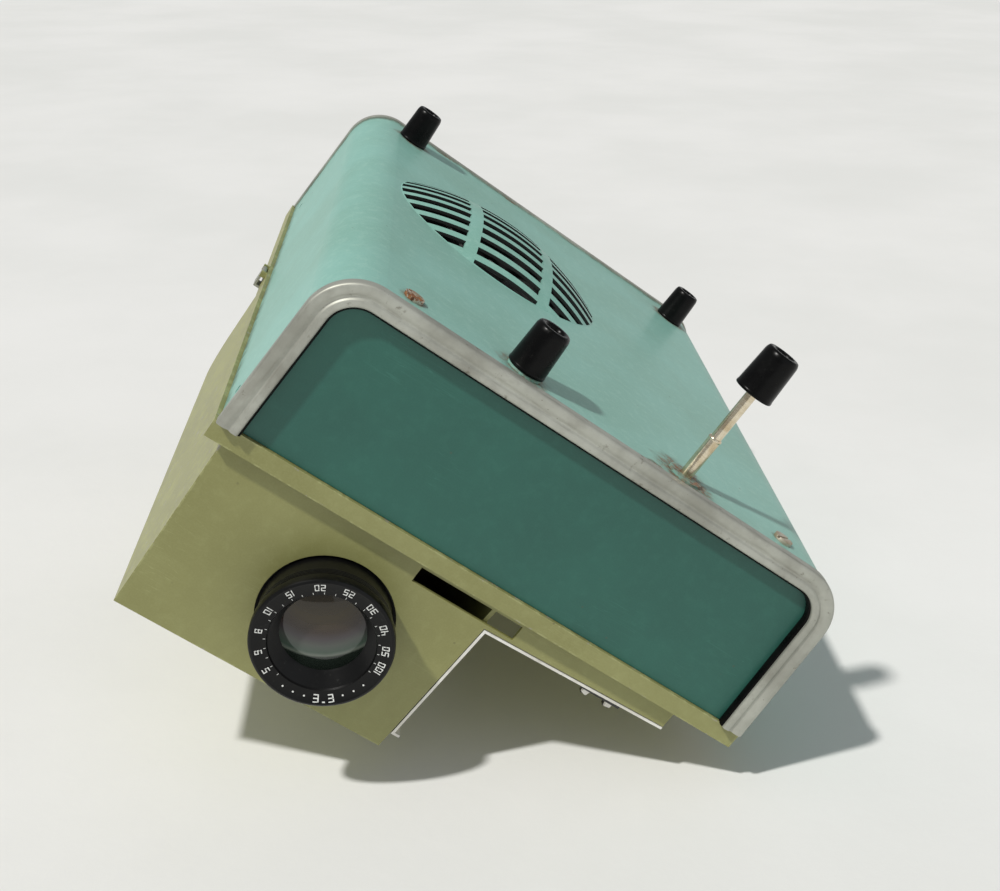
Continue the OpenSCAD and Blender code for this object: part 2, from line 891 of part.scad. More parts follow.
module focus_guide() {
    color(steel) {
        spindle(lens_x + guide_dx, lens_z, follower_y - 12, gate_y - 6.3, 2);
        difference() {
            block([lens_x + guide_dx - 6, gate_y - 8, deck_z + 0.05],
                [lens_x + guide_dx + 6, gate_y - 6.4, lens_z + 6]);
            spindle(lens_x + guide_dx, lens_z, gate_y - 9, gate_y - 5, 2);
        }
    }
}

module focus_follower() {
    color(bronze) difference() {
        union() {
            spindle(lens_x, lens_z, follower_y, follower_y + 4, barrel_r + 1.6);
            spindle(lens_x + guide_dx, lens_z, follower_y, follower_y + 4, 4.6);
            block([lens_x + guide_dx, follower_y, lens_z - 3], [lens_x - 20, follower_y + 4, lens_z + 3]);
        }
        spindle(lens_x, lens_z, follower_y - past, follower_y + 6, barrel_r - 1 + run_fit);
        spindle(lens_x + guide_dx, lens_z, follower_y - past, follower_y + 6, 2 + run_fit);
    }
}

ring_len = 5.4;
barrel_y1 = house_y0 + 50;
glass_r = 20;

module lens_barrel() {
    color(black) difference() {
        spindle(lens_x, lens_z, lens_y0 + ring_len, barrel_y1, barrel_r);
        spindle(lens_x, lens_z, lens_y0, lens_y0 + ring_len + 8, glass_r + run_fit);
        spindle(lens_x, lens_z, lens_y0, barrel_y1 - 12, 18);
        spindle(lens_x, lens_z, barrel_y1 - 12, barrel_y1 + past, glass_r + run_fit);
        optic_tube(follower_y - 0.1, follower_y + 4.1, barrel_r + past, barrel_r - 1);
    }
}

module lens_ring() {
    color(black) translate([lens_x, lens_y0 + ring_len, lens_z]) rotate([90, 0, 0])
        rotate_extrude() polygon([[17.2, 0], [ring_r - 0.7, 0], [ring_r, 1], [ring_r, ring_len - 1.2],
            [ring_r - 1.2, ring_len], [20.2, ring_len], [17.6, ring_len - 2], [17.2, ring_len - 3.2]]);
}

module front_element() {
    color([0.75, 0.85, 0.95, 0.5]) intersection() {
        domed_lens(lens_y0 + ring_len + 6, glass_r, 5, 3.6);
        union() {
            spindle(lens_x, lens_z, lens_y0 + ring_len + 0.1, lens_y0 + ring_len + 7, glass_r);
            spindle(lens_x, lens_z, lens_y0, lens_y0 + ring_len + 1, 17);
        }
    }
}

module rear_element() {
    color([0.75, 0.85, 0.95, 0.5]) domed_lens(barrel_y1 - 3, glass_r, 4, 3.4);
}

// ---- slide changer ----

carrier_x = [lens_x - 30, lens_x + 30];
guide_x0 = carrier_x[0] - changer_travel - 14.7;

module changer_guide() {
    color(bright) difference() {
        block([guide_x0, gate_y - guide_half, deck_z + 0.05], [5, gate_y + guide_half, carrier_z0 + 3]);
        block([guide_x0 - past, gate_y - 2.3, carrier_z0 - gap], [6, gate_y + 2.3, carrier_z0 + 4]);
        for (s = [-1, 1])
            block([guide_x0 - past, gate_y + s * 5 - 1.2, deck_z + 2],
                [6, gate_y + s * 5 + 1.2, carrier_z0 - 2.5]);
    }
}

module slide_carrier() {
    color(bright) difference() {
        block([carrier_x[0], gate_y - 2, carrier_z0], [carrier_x[1], gate_y + 2, carrier_z1]);
        block([lens_x - 25.5, gate_y - 1.2, lens_z - 25.5], [lens_x + 25.5, gate_y + 1.2, carrier_z1 + past]);
        block([lens_x - 19, gate_y - 3, lens_z - 19], [lens_x + 19, gate_y + 3, lens_z + 19]);
    }
}

handle_x = [-34, -16];

module changer_handle() {
    z0 = carrier_z0 + 14;
    color(black) {
        block([handle_x[1], gate_y - 1.5, z0], [carrier_x[0] - 0.05, gate_y + 1.5, z0 + 14]);
        difference() {
            block([handle_x[0], gate_y - 7, z0 - 6], [handle_x[1], gate_y + 7, z0 + 20]);
            for (s = [-1, 1]) spindle((handle_x[0] + handle_x[1]) / 2, z0 + 7,
                gate_y + s * 12 - 8, gate_y + s * 12 + 8, 6);
        }
    }
}

// ---- tray catch ----

catch_x = [-70, -53];
catch_y = house_y0 + wall_t + 1.1;
catch_pivot = [catch_x[0] + 3, catch_y + 2.2];

module tray_catch() {
    color(black) difference() {
        union() {
            block([catch_x[0], catch_y, deck_z + 0.4], [catch_x[1], catch_y + 4.4, deck_z + 12.8]);
            for (x = [catch_x[0] + 3, catch_x[1] - 4])
                block([x, catch_y + 1, deck_z + 12.6], [x + 2.6, catch_y + 3.4, deck_z + 15]);
        }
        post(catch_pivot[0], catch_pivot[1], deck_z, deck_z + 6, 1.05);
    }
}

// ---- mains inlet and switch ----

module power_inlet() {
    color(black) difference() {
        union() {
            block([inlet_x - 12, rear_y - 20, inlet_z - 8], [inlet_x + 12, rear_y - 1, inlet_z + 8]);
            block([inlet_x - 15, rear_y - 2.9, inlet_z - 10.5], [inlet_x + 15, rear_y - 1, inlet_z + 10.5]);
        }
        block([inlet_x - 10, rear_y - 17, inlet_z - 6], [inlet_x + 10, rear_y, inlet_z + 6]);
    }
}

module inlet_pins() {
    color(steel) for (s = [-1, 1]) {
        spindle(inlet_x + s * 6, inlet_z, rear_y - 16.95, rear_y - 4, 1.6);
    }
}

lever_pivot_y = rear_y - 6;
lever_tilt = 12.5;

module mains_switch() {
    color(steel) difference() {
        union() {
            block([switch_x - 8, rear_y - 26, switch_z - 13], [switch_x + 8, rear_y - 4.3, switch_z + 13]);
            spindle(switch_x, switch_z, rear_y - 4.3, rear_y + 3, 6);
            spindle(switch_x, switch_z, rear_y - 2.9, rear_y - 0.6, 8.4);
        }
        spindle(switch_x, switch_z, rear_y - 12, rear_y + 4, 4.4);
    }
    color(steel) cross_pin(lever_pivot_y, switch_z, switch_x - 5, switch_x + 5, 0.6);
}

// the toggle, which rests tipped down in its off place
module switch_lever() {
    color(bright) translate([switch_x, lever_pivot_y, switch_z]) difference() {
        rotate([-90 - lever_tilt, 0, 0]) rotate_extrude()
            polygon([[0, -2], [2, -1.2], [2, 1.4], [1.4, 2.6], [1.6, 8], [2.6, 19], [1.8, 21], [0, 21.5]]);
        cross_pin(0, 0, -3, 3, 0.6 + run_fit);
    }
}

base_wrap();
front_trim();
rear_trim();
front_panel();
rear_panel();
deck_plate();
housing_cover();
cutout_liner();
latch_brackets();
right_latch();
left_latch();
leg_crossmember();
leg_bushes();
left_leg_rod();
left_leg_foot();
left_leg_stop();
right_leg_rod();
right_leg_foot();
right_leg_stop();
rear_feet();
rear_foot_screws();
base_screws();
deck_screws();
fan_shroud();
fan_impeller();
fan_shaft();
motor_rotor();
motor_stator();
motor_coil();
motor_bracket();
motor_posts();
motor_top_plate();
motor_bearings();
optical_bench();
gate_frame();
condenser_cell();
front_condenser();
rear_condenser();
heat_glass();
heat_glass_holder();
reflector();
lamp_bulb();
lamp_cap();
lamp_socket();
lamp_shield();
lens_bush();
focus_guide();
focus_follower();
lens_barrel();
lens_ring();
front_element();
rear_element();
changer_guide();
slide_carrier();
changer_handle();
tray_catch();
power_inlet();
inlet_pins();
mains_switch();
switch_lever();
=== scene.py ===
"""Finishes, small parts, floor, light and camera for the slide projector."""

import math

import bmesh
import bpy
from mathutils import Matrix, Vector


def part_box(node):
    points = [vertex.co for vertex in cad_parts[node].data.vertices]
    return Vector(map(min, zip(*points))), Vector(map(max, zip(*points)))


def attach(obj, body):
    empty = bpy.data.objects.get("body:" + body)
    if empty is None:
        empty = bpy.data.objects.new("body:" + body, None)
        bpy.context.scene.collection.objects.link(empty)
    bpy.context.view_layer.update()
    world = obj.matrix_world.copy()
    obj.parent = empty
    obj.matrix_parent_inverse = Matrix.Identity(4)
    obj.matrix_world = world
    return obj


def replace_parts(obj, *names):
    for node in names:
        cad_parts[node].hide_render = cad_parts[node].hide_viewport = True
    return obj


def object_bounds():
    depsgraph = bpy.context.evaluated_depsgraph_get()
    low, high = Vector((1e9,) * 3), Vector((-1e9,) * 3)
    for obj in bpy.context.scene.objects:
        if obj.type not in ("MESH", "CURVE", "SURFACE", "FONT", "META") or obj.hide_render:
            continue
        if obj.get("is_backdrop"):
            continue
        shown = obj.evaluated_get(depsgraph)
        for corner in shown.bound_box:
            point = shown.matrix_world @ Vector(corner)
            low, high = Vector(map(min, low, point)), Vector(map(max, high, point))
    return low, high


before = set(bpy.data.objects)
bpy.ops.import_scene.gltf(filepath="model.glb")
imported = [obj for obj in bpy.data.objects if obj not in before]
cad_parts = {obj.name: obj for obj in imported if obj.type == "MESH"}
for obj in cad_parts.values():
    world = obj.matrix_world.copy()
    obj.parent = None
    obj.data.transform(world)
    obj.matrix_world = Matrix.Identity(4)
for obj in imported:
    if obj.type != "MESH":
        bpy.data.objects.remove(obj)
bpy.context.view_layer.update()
MM = 0.001

# Places and sizes of the real parts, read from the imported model
BASE_LOW, BASE_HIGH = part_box("base_wrap")
DECK_LOW, DECK_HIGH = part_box("deck_plate")
HOUSE_LOW, HOUSE_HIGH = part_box("housing_cover")
RING_LOW, RING_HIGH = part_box("lens_ring")
FRONT_Y = BASE_LOW.y
REAR_Y = BASE_HIGH.y
LENS_X = (RING_LOW.x + RING_HIGH.x) / 2
LENS_Z = (RING_LOW.z + RING_HIGH.z) / 2
FAN_LOW, FAN_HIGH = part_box("fan_shroud")
VENT_X = (FAN_LOW.x + FAN_HIGH.x) / 2
VENT_Y = (FAN_LOW.y + FAN_HIGH.y) / 2


# ---- shader maths ----

class Level:
    """A number that varies over a surface; arithmetic on it adds Math nodes."""

    def __init__(self, finish, socket):
        self.finish = finish
        self.socket = socket

    def maths(self, operation, first, second=0.0):
        return self.finish.node("ShaderNodeMath", {"operation": operation}, {0: first, 1: second})

    def __add__(self, other):
        return self.maths("ADD", self, other)

    def __radd__(self, other):
        return self.maths("ADD", other, self)

    def __sub__(self, other):
        return self.maths("SUBTRACT", self, other)

    def __rsub__(self, other):
        return self.maths("SUBTRACT", other, self)

    def __mul__(self, other):
        return self.maths("MULTIPLY", self, other)

    def __rmul__(self, other):
        return self.maths("MULTIPLY", other, self)

    def __truediv__(self, other):
        return self.maths("DIVIDE", self, other)

    def __pow__(self, other):
        return self.maths("POWER", self, other)

    def size(self):
        """How far from zero."""
        return self.maths("ABSOLUTE", self)

    def most(self, other):
        """The larger of the two."""
        return self.maths("MAXIMUM", self, other)


class Finish:
    """One surface finish: a Principled material and the short ways to fill it."""

    def __init__(self, name, **constants):
        self.material = bpy.data.materials.new(name)
        self.material.use_nodes = True
        self.tree = self.material.node_tree
        self.shader = self.tree.nodes["Principled BSDF"]
        for socket, value in constants.items():
            self.shader.inputs[socket.replace("_", " ")].default_value = value
        self.place = self.node("ShaderNodeTexCoord", output="Object")

    def node(self, kind, settings=None, sockets=None, output=0):
        """Adds a node: its settings first, then the values or links of its sockets."""
        made = self.tree.nodes.new(kind)
        for key, value in (settings or {}).items():
            if key == "stops":
                self.fill_ramp(made.color_ramp, value)
            else:
                setattr(made, key, value)
        for key, value in (sockets or {}).items():
            if isinstance(value, Level):
                self.tree.links.new(value.socket, made.inputs[key])
            else:
                made.inputs[key].default_value = value
        return Level(self, made.outputs[output])

    def fill_ramp(self, ramp, stops):
        """Sets a ramp's stops, given as (position, colour)."""
        while len(ramp.elements) < len(stops):
            ramp.elements.new(0.5)
        for element, (position, colour) in zip(ramp.elements, stops):
            element.position = position
            element.color = (*colour, 1.0)

    def along(self, axis):
        """The surface's own X, Y or Z in metres, in the projector's frame."""
        return self.node("ShaderNodeSeparateXYZ", None, {0: self.place}, output="XYZ".index(axis))

    def stretched(self, factors):
        """The surface's place, multiplied along each axis, for grain that runs one way."""
        return self.node("ShaderNodeVectorMath", {"operation": "MULTIPLY"},
                         {0: self.place, 1: factors})

    def noise(self, per_metre, detail=3.0, rough=0.55, place=None):
        """Clouds or grain, about per_metre blots to a metre."""
        return self.node("ShaderNodeTexNoise", None, {
            "Vector": place or self.place, "Scale": per_metre, "Detail": detail,
            "Roughness": rough})

    def cells(self, per_metre):
        """Distance from the nearest of many scattered points."""
        return self.node("ShaderNodeTexVoronoi", {"feature": "F1"}, {
            "Vector": self.place, "Scale": per_metre, "Randomness": 1.0})

    def fade(self, value, start, end):
        """0 where value is at start, 1 where it is at end, and smooth between."""
        return self.node("ShaderNodeMapRange", {"interpolation_type": "SMOOTHSTEP"},
                         {0: value, 1: start, 2: end, 3: 0.0, 4: 1.0})

    def blend(self, mask, under, over):
        """One colour over another where the mask is 1."""
        def socket(colour):
            return colour if isinstance(colour, Level) else (*colour, 1.0)
        return self.node("ShaderNodeMix", {"data_type": "RGBA"},
                         {0: mask, 6: socket(under), 7: socket(over)}, output=2)

    def near(self, x, y, reach):
        """1 at a place on the underside and 0 beyond reach, ragged at its edge."""
        away = ((self.along("X") - x) ** 2.0 + (self.along("Y") - y) ** 2.0) ** 0.5
        ragged = away + (self.noise(140.0) - 0.5) * reach * 0.9
        return self.fade(ragged, reach, reach * 0.35)

    def feed(self, socket, value):
        """Links or sets one of the shader's sockets."""
        if isinstance(value, Level):
            self.tree.links.new(value.socket, self.shader.inputs[socket])
        else:
            self.shader.inputs[socket].default_value = value

    def wear(self, colour=None, rough=None, metal=None, height=None, depth=0.1 * MM):
        """Links what varies over the surface to the shader."""
        for socket, value in (("Base Color", colour), ("Roughness", rough), ("Metallic", metal)):
            if value is not None:
                self.feed(socket, value)
        if height is not None:
            relief = self.node("ShaderNodeBump", None,
                               {"Height": height, "Distance": depth, "Strength": 1.0})
            self.feed("Normal", relief)
        return self.material


RUST_DARK = (0.075, 0.028, 0.012)
RUST_LIGHT = (0.30, 0.125, 0.045)
GRIME = (0.085, 0.065, 0.035)
BARE_STEEL = (0.34, 0.32, 0.30)
PAINTED_SHADE_BLACK = (0.006, 0.007, 0.006)
RUBBER_DEEP = (0.001375, 0.001375, 0.001375)
RUBBER_WORN = (0.00325, 0.00325, 0.00325)
VENT_R = 50.0 * MM


def rust(finish):
    """Mottled rust colours."""
    return finish.blend(finish.fade(finish.noise(900.0, 5.0), 0.35, 0.65), RUST_DARK, RUST_LIGHT)


def enamel(name, main, pale, deep, edges=(), stains=(), darkened_lines=(), grain_depth=0.035 * MM,
           dirt=0.5, gloss=0.36, mottling=1.0, shade=None):
    """Baked enamel on sheet metal: cloudy colour, fine orange peel, specks, chips and stains.

    edges are (axis, place, width) lines where the paint is rubbed thin, and stains are
    (x, y, reach) of rust and grime on the underside. The darkened lines, given like edges,
    become darker, rougher bands, and shade gives a mask that is filled with painted shade, near
    black."""
    f = Finish(name, Coat_Weight=0.12, Coat_Roughness=0.25, IOR=1.5)
    cloud = f.noise(16.0, 5.0, 0.6)
    mottle = f.noise(260.0, 4.0, 0.6)
    grain = f.noise(1500.0, 2.0, 0.5)
    colour = f.blend(f.fade(cloud, 0.34, 0.68), deep, main)
    colour = f.blend(f.fade(mottle, 0.45, 0.75) * (0.30 * mottling), colour, pale)
    colour = f.blend(f.fade(grain, 0.42, 0.62) * (0.14 * mottling), colour, pale)
    smear = f.noise(9.0, 6.0, 0.7, f.stretched((1.0, 0.35, 1.0)))
    colour = f.blend(f.fade(smear, 0.56, 0.74) * 0.22 * dirt, colour, GRIME)
    specks = f.fade(f.cells(150.0), 0.085, 0.05) * f.fade(f.noise(24.0), 0.50, 0.62)
    colour = f.blend(specks * 0.8 * dirt, colour, GRIME)
    scratch = f.noise(30.0, 2.0, 0.4, f.stretched((1.0, 26.0, 22.0)))
    scratch = f.fade((scratch - 0.5).size(), 0.012, 0.003) * f.fade(f.noise(22.0), 0.53, 0.66)
    colour = f.blend(scratch * 0.35, colour, pale)
    rubbed = None
    for axis, place, width in edges:
        line = f.fade((f.along(axis) - place).size(), width, width * 0.15)
        rubbed = line if rubbed is None else rubbed.most(line)
    height = grain * 0.5 + mottle * 0.3
    rough = gloss + cloud * 0.12 + mottle * 0.08 + scratch * 0.1
    if rubbed is not None:
        chips = rubbed * f.fade(f.noise(190.0, 5.0, 0.7), 0.50, 0.58)
        bare = rubbed * f.fade(f.noise(230.0, 5.0, 0.75), 0.60, 0.66)
        colour = f.blend(chips * 0.55, colour, pale)
        colour = f.blend(bare * 0.75, colour, BARE_STEEL)
        height = height - bare * 0.9
        rough = rough + chips * 0.12
    # darker, rougher bands along the given lines
    for axis, place, width in darkened_lines:
        line = f.fade((f.along(axis) - place).size(), width, width * 0.2)
        line = line * f.fade(f.noise(110.0, 5.0, 0.7), 0.34, 0.62)
        colour = f.blend(line * 0.6, colour, GRIME)
        rough = rough + line * 0.15
    soil = None
    for x, y, reach in stains:
        spot = f.near(x, y, reach)
        soil = spot if soil is None else soil.most(spot)
    if soil is not None:
        colour = f.blend(soil * 0.6, colour, GRIME)
        pitted = soil * f.fade(f.noise(420.0, 5.0, 0.7), 0.44, 0.56)
        colour = f.blend(pitted, colour, rust(f))
        rough = rough + soil * 0.25
        height = height + pitted * 0.6
    # painted shade: where the shade mask is 1 the colour goes near black
    if shade is not None:
        colour = f.blend(shade(f), colour, PAINTED_SHADE_BLACK)
    return f.wear(colour, rough, None, height, grain_depth)


def vent_painted_shade(f):
    """Painted shade: near black on the cut edges of the vent's slots and on the inside of the
    sheet, where the slots look into the dark base.
    """
    facing = f.node("ShaderNodeTexCoord", output="Normal")
    sideways = f.node("ShaderNodeSeparateXYZ", None, {0: facing}, output=1).size()
    away = ((f.along("X") - VENT_X) ** 2.0 + (f.along("Y") - VENT_Y) ** 2.0) ** 0.5
    cut_edge = f.fade(sideways, 0.55, 0.8) * f.fade(away, VENT_R + 0.2 * MM, VENT_R - 0.2 * MM)
    upward = f.node("ShaderNodeSeparateXYZ", None, {0: facing}, output=2)
    inside = f.fade(upward, 0.3, 0.6) * f.fade(away, VENT_R + 6 * MM, VENT_R + 4 * MM)
    return cut_edge.most(inside)


def extruded_aluminium(name, lift=0.0):
    """Drawn aluminium trim: dull oxide, dark scuffs, grime in patches and fine pits."""
    f = Finish(name, IOR=1.45)
    cloud = f.noise(34.0, 5.0, 0.65)
    streak = f.noise(60.0, 4.0, 0.6, f.stretched((1.0, 14.0, 1.0)))
    pits = f.fade(f.cells(420.0), 0.10, 0.04) * f.fade(f.noise(60.0), 0.48, 0.62)
    bright = (0.52 + lift, 0.53 + lift, 0.47 + lift)
    colour = f.blend(f.fade(cloud, 0.30, 0.72), (0.33, 0.33, 0.285), bright)
    colour = f.blend(f.fade(streak, 0.50, 0.72) * 0.45, colour, (0.26, 0.25, 0.21))
    colour = f.blend(f.fade(f.noise(210.0, 5.0, 0.7), 0.60, 0.70) * 0.5, colour, GRIME)
    colour = f.blend(pits * 0.8, colour, (0.12, 0.09, 0.06))
    rough = 0.42 + cloud * 0.16 + pits * 0.2
    height = streak * 0.5 + cloud * 0.2 - pits
    return f.wear(colour, rough, 0.62 - pits * 0.5, height, 0.05 * MM)


def bright_strip(name):
    """Thin bright strip, lightly scratched and finger-marked."""
    f = Finish(name, IOR=1.45)
    mark = f.noise(70.0, 4.0, 0.6)
    lines = f.noise(90.0, 3.0, 0.6, f.stretched((1.0, 12.0, 1.0)))
    colour = f.blend(f.fade(mark, 0.35, 0.7), (0.70, 0.68, 0.62), (0.88, 0.87, 0.83))
    colour = f.blend(f.fade(lines, 0.6, 0.75) * 0.4, colour, (0.45, 0.43, 0.38))
    return f.wear(colour, 0.30 + mark * 0.16, 0.35, lines, 0.02 * MM)


def plated(name, bright, dull, rusting=0.3, shine=0.24, metal=0.92, spare_left=False):
    """Plated steel: dulled patches, tarnish and rust creeping through.

    spare_left keeps the rust off the pieces on the -X side."""
    f = Finish(name, IOR=1.5)
    cloud = f.noise(170.0, 5.0, 0.65)
    turned = f.noise(70.0, 3.0, 0.5, f.stretched((1.0, 1.0, 26.0)))
    colour = f.blend(f.fade(cloud, 0.34, 0.66), dull, bright)
    colour = f.blend(f.fade(turned, 0.45, 0.7) * 0.3, colour, dull)
    patches = f.fade(f.noise(260.0, 6.0, 0.75), 0.66 - rusting * 0.3, 0.74 - rusting * 0.3)
    if spare_left:
        patches = patches * f.fade(f.along("X"), -10 * MM, 10 * MM)
    colour = f.blend(patches, colour, rust(f))
    rough = shine + cloud * 0.14 + patches * 0.45
    return f.wear(colour, rough, metal - patches * 0.85, patches * 0.8 + turned * 0.3, 0.06 * MM)


def rubber(name):
    """Moulded black rubber: scuffed grey in patches, dust in its grain."""
    f = Finish(name, IOR=1.5, Specular_IOR_Level=0.14)
    grain = f.noise(1300.0, 3.0, 0.6)
    cloud = f.noise(150.0, 5.0, 0.65)
    dust = f.fade(f.noise(430.0, 6.0, 0.75), 0.56, 0.74)
    colour = f.blend(f.fade(cloud, 0.35, 0.7), RUBBER_DEEP, RUBBER_WORN)
    colour = f.blend(dust * 0.05, colour, (0.10, 0.10, 0.08))
    return f.wear(colour, 0.20 + cloud * 0.16 + dust * 0.25, None, grain * 0.4 + cloud * 0.5,
                  0.05 * MM)


def black_enamel(name, tone=0.004, shine=0.22):
    """Satin black lens enamel: faint dust, fine turning marks and rubbed spots."""
    f = Finish(name, Coat_Weight=0.06, Coat_Roughness=0.2, IOR=1.5, Specular_IOR_Level=0.2)
    dust = f.fade(f.noise(520.0, 6.0, 0.75), 0.58, 0.72)
    rings = f.noise(900.0, 2.0, 0.5, f.stretched((0.05, 6.0, 0.05)))
    cloud = f.noise(120.0, 4.0, 0.6)
    colour = f.blend(dust * 0.16, (tone,) * 3, (0.10, 0.11, 0.10))
    colour = f.blend(f.fade(cloud, 0.55, 0.8) * 0.4, colour, (tone * 2.6,) * 3)
    return f.wear(colour, shine + cloud * 0.2 + dust * 0.25, None, rings * 0.5 + dust * 0.3,
                  0.03 * MM)


def moulded(name, colour_low, colour_high):
    """Moulded phenolic: glossy, with flow marks and fine scratches."""
    f = Finish(name, Coat_Weight=0.2, Coat_Roughness=0.1, IOR=1.55)
    flow = f.noise(50.0, 5.0, 0.65)
    fine = f.noise(700.0, 4.0, 0.6)
    colour = f.blend(f.fade(flow, 0.35, 0.7), colour_low, colour_high)
    colour = f.blend(f.fade(fine, 0.62, 0.74) * 0.3, colour, (0.18, 0.17, 0.15))
    return f.wear(colour, 0.25 + flow * 0.12 + fine * 0.08, None, fine, 0.02 * MM)


def optical_glass(name, tint):
    """Polished glass with a faint film of dust."""
    f = Finish(name, IOR=1.55, Transmission_Weight=1.0)
    smear = f.noise(60.0, 4.0, 0.6)
    colour = f.blend(f.fade(smear, 0.5, 0.8) * 0.2, tint, (0.80, 0.80, 0.74))
    return f.wear(colour, 0.008 + f.fade(smear, 0.6, 0.85) * 0.02)


REFLECTION_WAY = (-0.562, 0.827)   # in X and Z, square to the bands of the painted reflection


def coated_lens(name, reach):
    """The lens's coated glass, its colour a painted reflection: light and dark bands across its
    dark depth, as the room mirrored in it.
    """
    f = Finish(name, IOR=1.5, Transmission_Weight=0.2, Coat_Weight=0.15, Coat_Roughness=0.02)
    across = f.along("X") - LENS_X
    up = f.along("Z") - LENS_Z
    wavy = (f.noise(70.0, 3.0) - 0.5) * 0.14
    reflection_level = (up * REFLECTION_WAY[1] + across * REFLECTION_WAY[0]) / reach + wavy
    bulge = ((across * across + up * up) / (reach * reach)) * 0.35
    # painted reflection: the ramp's brown, grey and green bands and its dark rim stand for the
    # room mirrored in the glass
    colour = f.node("ShaderNodeValToRGB", {"stops": (
        (0.00, (0.020, 0.014, 0.006)), (0.22, (0.060, 0.042, 0.014)),
        (0.40, (0.045, 0.030, 0.022)), (0.52, (0.072, 0.062, 0.066)),
        (0.64, (0.100, 0.112, 0.098)), (0.78, (0.085, 0.125, 0.096)),
        (0.84, (0.200, 0.230, 0.190)), (0.88, (0.020, 0.028, 0.022)))},
        {0: f.fade(reflection_level + bulge, -1.05, 1.25)})
    spots = f.fade(f.cells(170.0), 0.16, 0.05) * f.fade(f.noise(60.0), 0.55, 0.7)
    colour = f.blend(spots * 0.5, colour, (0.22, 0.05, 0.10))
    return f.wear(colour, 0.03 + f.noise(200.0) * 0.05)


def copper_winding(name):
    """Varnished copper wire, laid turn by turn."""
    f = Finish(name, Coat_Weight=0.5, Coat_Roughness=0.15, IOR=1.5)
    turns = f.node("ShaderNodeTexWave", {"wave_type": "BANDS", "bands_direction": "Z"}, {
        "Vector": f.place, "Scale": 260.0, "Distortion": 0.4, "Detail": 1.0})
    turns = f.fade(turns, 0.1, 0.9)
    colour = f.blend(turns, (0.10, 0.028, 0.010), (0.52, 0.20, 0.07))
    return f.wear(colour, 0.32 + f.noise(200.0) * 0.2, 0.55, turns, 0.2 * MM)


def ceramic(name):
    """Unglazed lamp-holder ceramic, heat stained."""
    f = Finish(name, IOR=1.5)
    grain = f.noise(600.0, 4.0)
    stain = f.noise(60.0, 5.0, 0.65)
    colour = f.blend(f.fade(stain, 0.45, 0.75), (0.78, 0.74, 0.66), (0.48, 0.36, 0.22))
    return f.wear(colour, 0.6 + grain * 0.2, None, grain, 0.04 * MM)


def white_marking(name):
    """White filling in engraved figures, a little worn."""
    f = Finish(name, IOR=1.5)
    gaps = f.fade(f.noise(1500.0, 4.0, 0.7), 0.56, 0.66)
    colour = f.blend(gaps, (0.78, 0.79, 0.76), (0.30, 0.31, 0.29))
    return f.wear(colour, 0.5 + gaps * 0.2, None, gaps, 0.01 * MM)


# ---- the finishes of this projector ----

CATCH_POST = 5.5 * MM            # the highest point of the deck, above its flat top
DECK_Z = DECK_HIGH.z - CATCH_POST
MINT = ((0.240, 0.490, 0.425), (0.43, 0.66, 0.575), (0.205, 0.425, 0.352))
TEAL = ((0.019, 0.118, 0.088), (0.055, 0.20, 0.155), (0.015, 0.098, 0.074))
TAN = ((0.285, 0.285, 0.108), (0.42, 0.43, 0.20), (0.240, 0.238, 0.082))

LEG_X = 34 * MM
FOOT_X = 80.4 * MM
FOOT_Y = REAR_Y - 24.7 * MM
SCREW_X = 78 * MM
SCREW_Y = FRONT_Y + 13.5 * MM
mint = enamel("mint_enamel", *MINT, stains=(
    (LEG_X, 0.0, 12 * MM), (-LEG_X, 0.0, 15 * MM), (FOOT_X, FOOT_Y, 12 * MM),
    (-FOOT_X, FOOT_Y, 12 * MM), (SCREW_X, SCREW_Y, 6 * MM),
    (-SCREW_X, SCREW_Y, 5 * MM), (60 * MM, REAR_Y, 9 * MM),
    (20 * MM, REAR_Y, 8 * MM), (-20 * MM, FRONT_Y + 4 * MM, 6 * MM)),
    # painted shade, near black, on the vent's slot edges and on the inside of the sheet
    edges=(("Y", REAR_Y, 4 * MM),), dirt=0.8, mottling=0.8, shade=vent_painted_shade,
    # darker bands beside the front and rear trims, and along the top of the base: painted shade
    # of the gap under the deck's edge
    darkened_lines=(("Y", FRONT_Y + 3.6 * MM, 2.6 * MM), ("Y", REAR_Y - 3.6 * MM, 4.5 * MM),
           ("Z", BASE_HIGH.z, 5 * MM)))
washer_enamel = enamel("stained_washer_enamel", *MINT, stains=(
    (LEG_X, 0.0, 9 * MM), (-LEG_X, 0.0, 10 * MM)), dirt=0.8)
teal = enamel("dark_teal_enamel", *TEAL, dirt=0.4, gloss=0.42, mottling=0.35)
tan_deck = enamel("tan_deck_enamel", *TAN, edges=(
    ("Z", DECK_LOW.z, 0.9 * MM), ("Z", DECK_Z, 0.8 * MM), ("X", DECK_LOW.x, 0.9 * MM),
    ("X", DECK_HIGH.x, 0.9 * MM)), dirt=0.7, mottling=0.5)
tan_housing = enamel("tan_housing_enamel", *TAN, edges=(
    ("Z", HOUSE_HIGH.z, 0.9 * MM), ("X", HOUSE_HIGH.x, 0.9 * MM)), dirt=0.5, mottling=0.4)
trim_metal = extruded_aluminium("trim_aluminium")
inner_metal = extruded_aluminium("inner_aluminium", lift=-0.12)
liner_metal = bright_strip("bright_liner_strip")
zinc = plated("zinc_plated_steel", (0.55, 0.54, 0.50), (0.30, 0.29, 0.27), rusting=0.05)
rusty = plated("rusted_screw_steel", (0.62, 0.58, 0.50), (0.36, 0.28, 0.18), rusting=0.62,
               shine=0.45, metal=0.5, spare_left=True)
worn_screw = plated("worn_screw_steel", (0.62, 0.58, 0.50), (0.34, 0.28, 0.20), rusting=0.22)
leg_nickel = plated("tarnished_leg_nickel", (0.82, 0.74, 0.58), (0.60, 0.49, 0.32),
                    rusting=0.0, shine=0.12)
brass = plated("dull_brass", (0.62, 0.46, 0.20), (0.33, 0.22, 0.09), rusting=0.0)
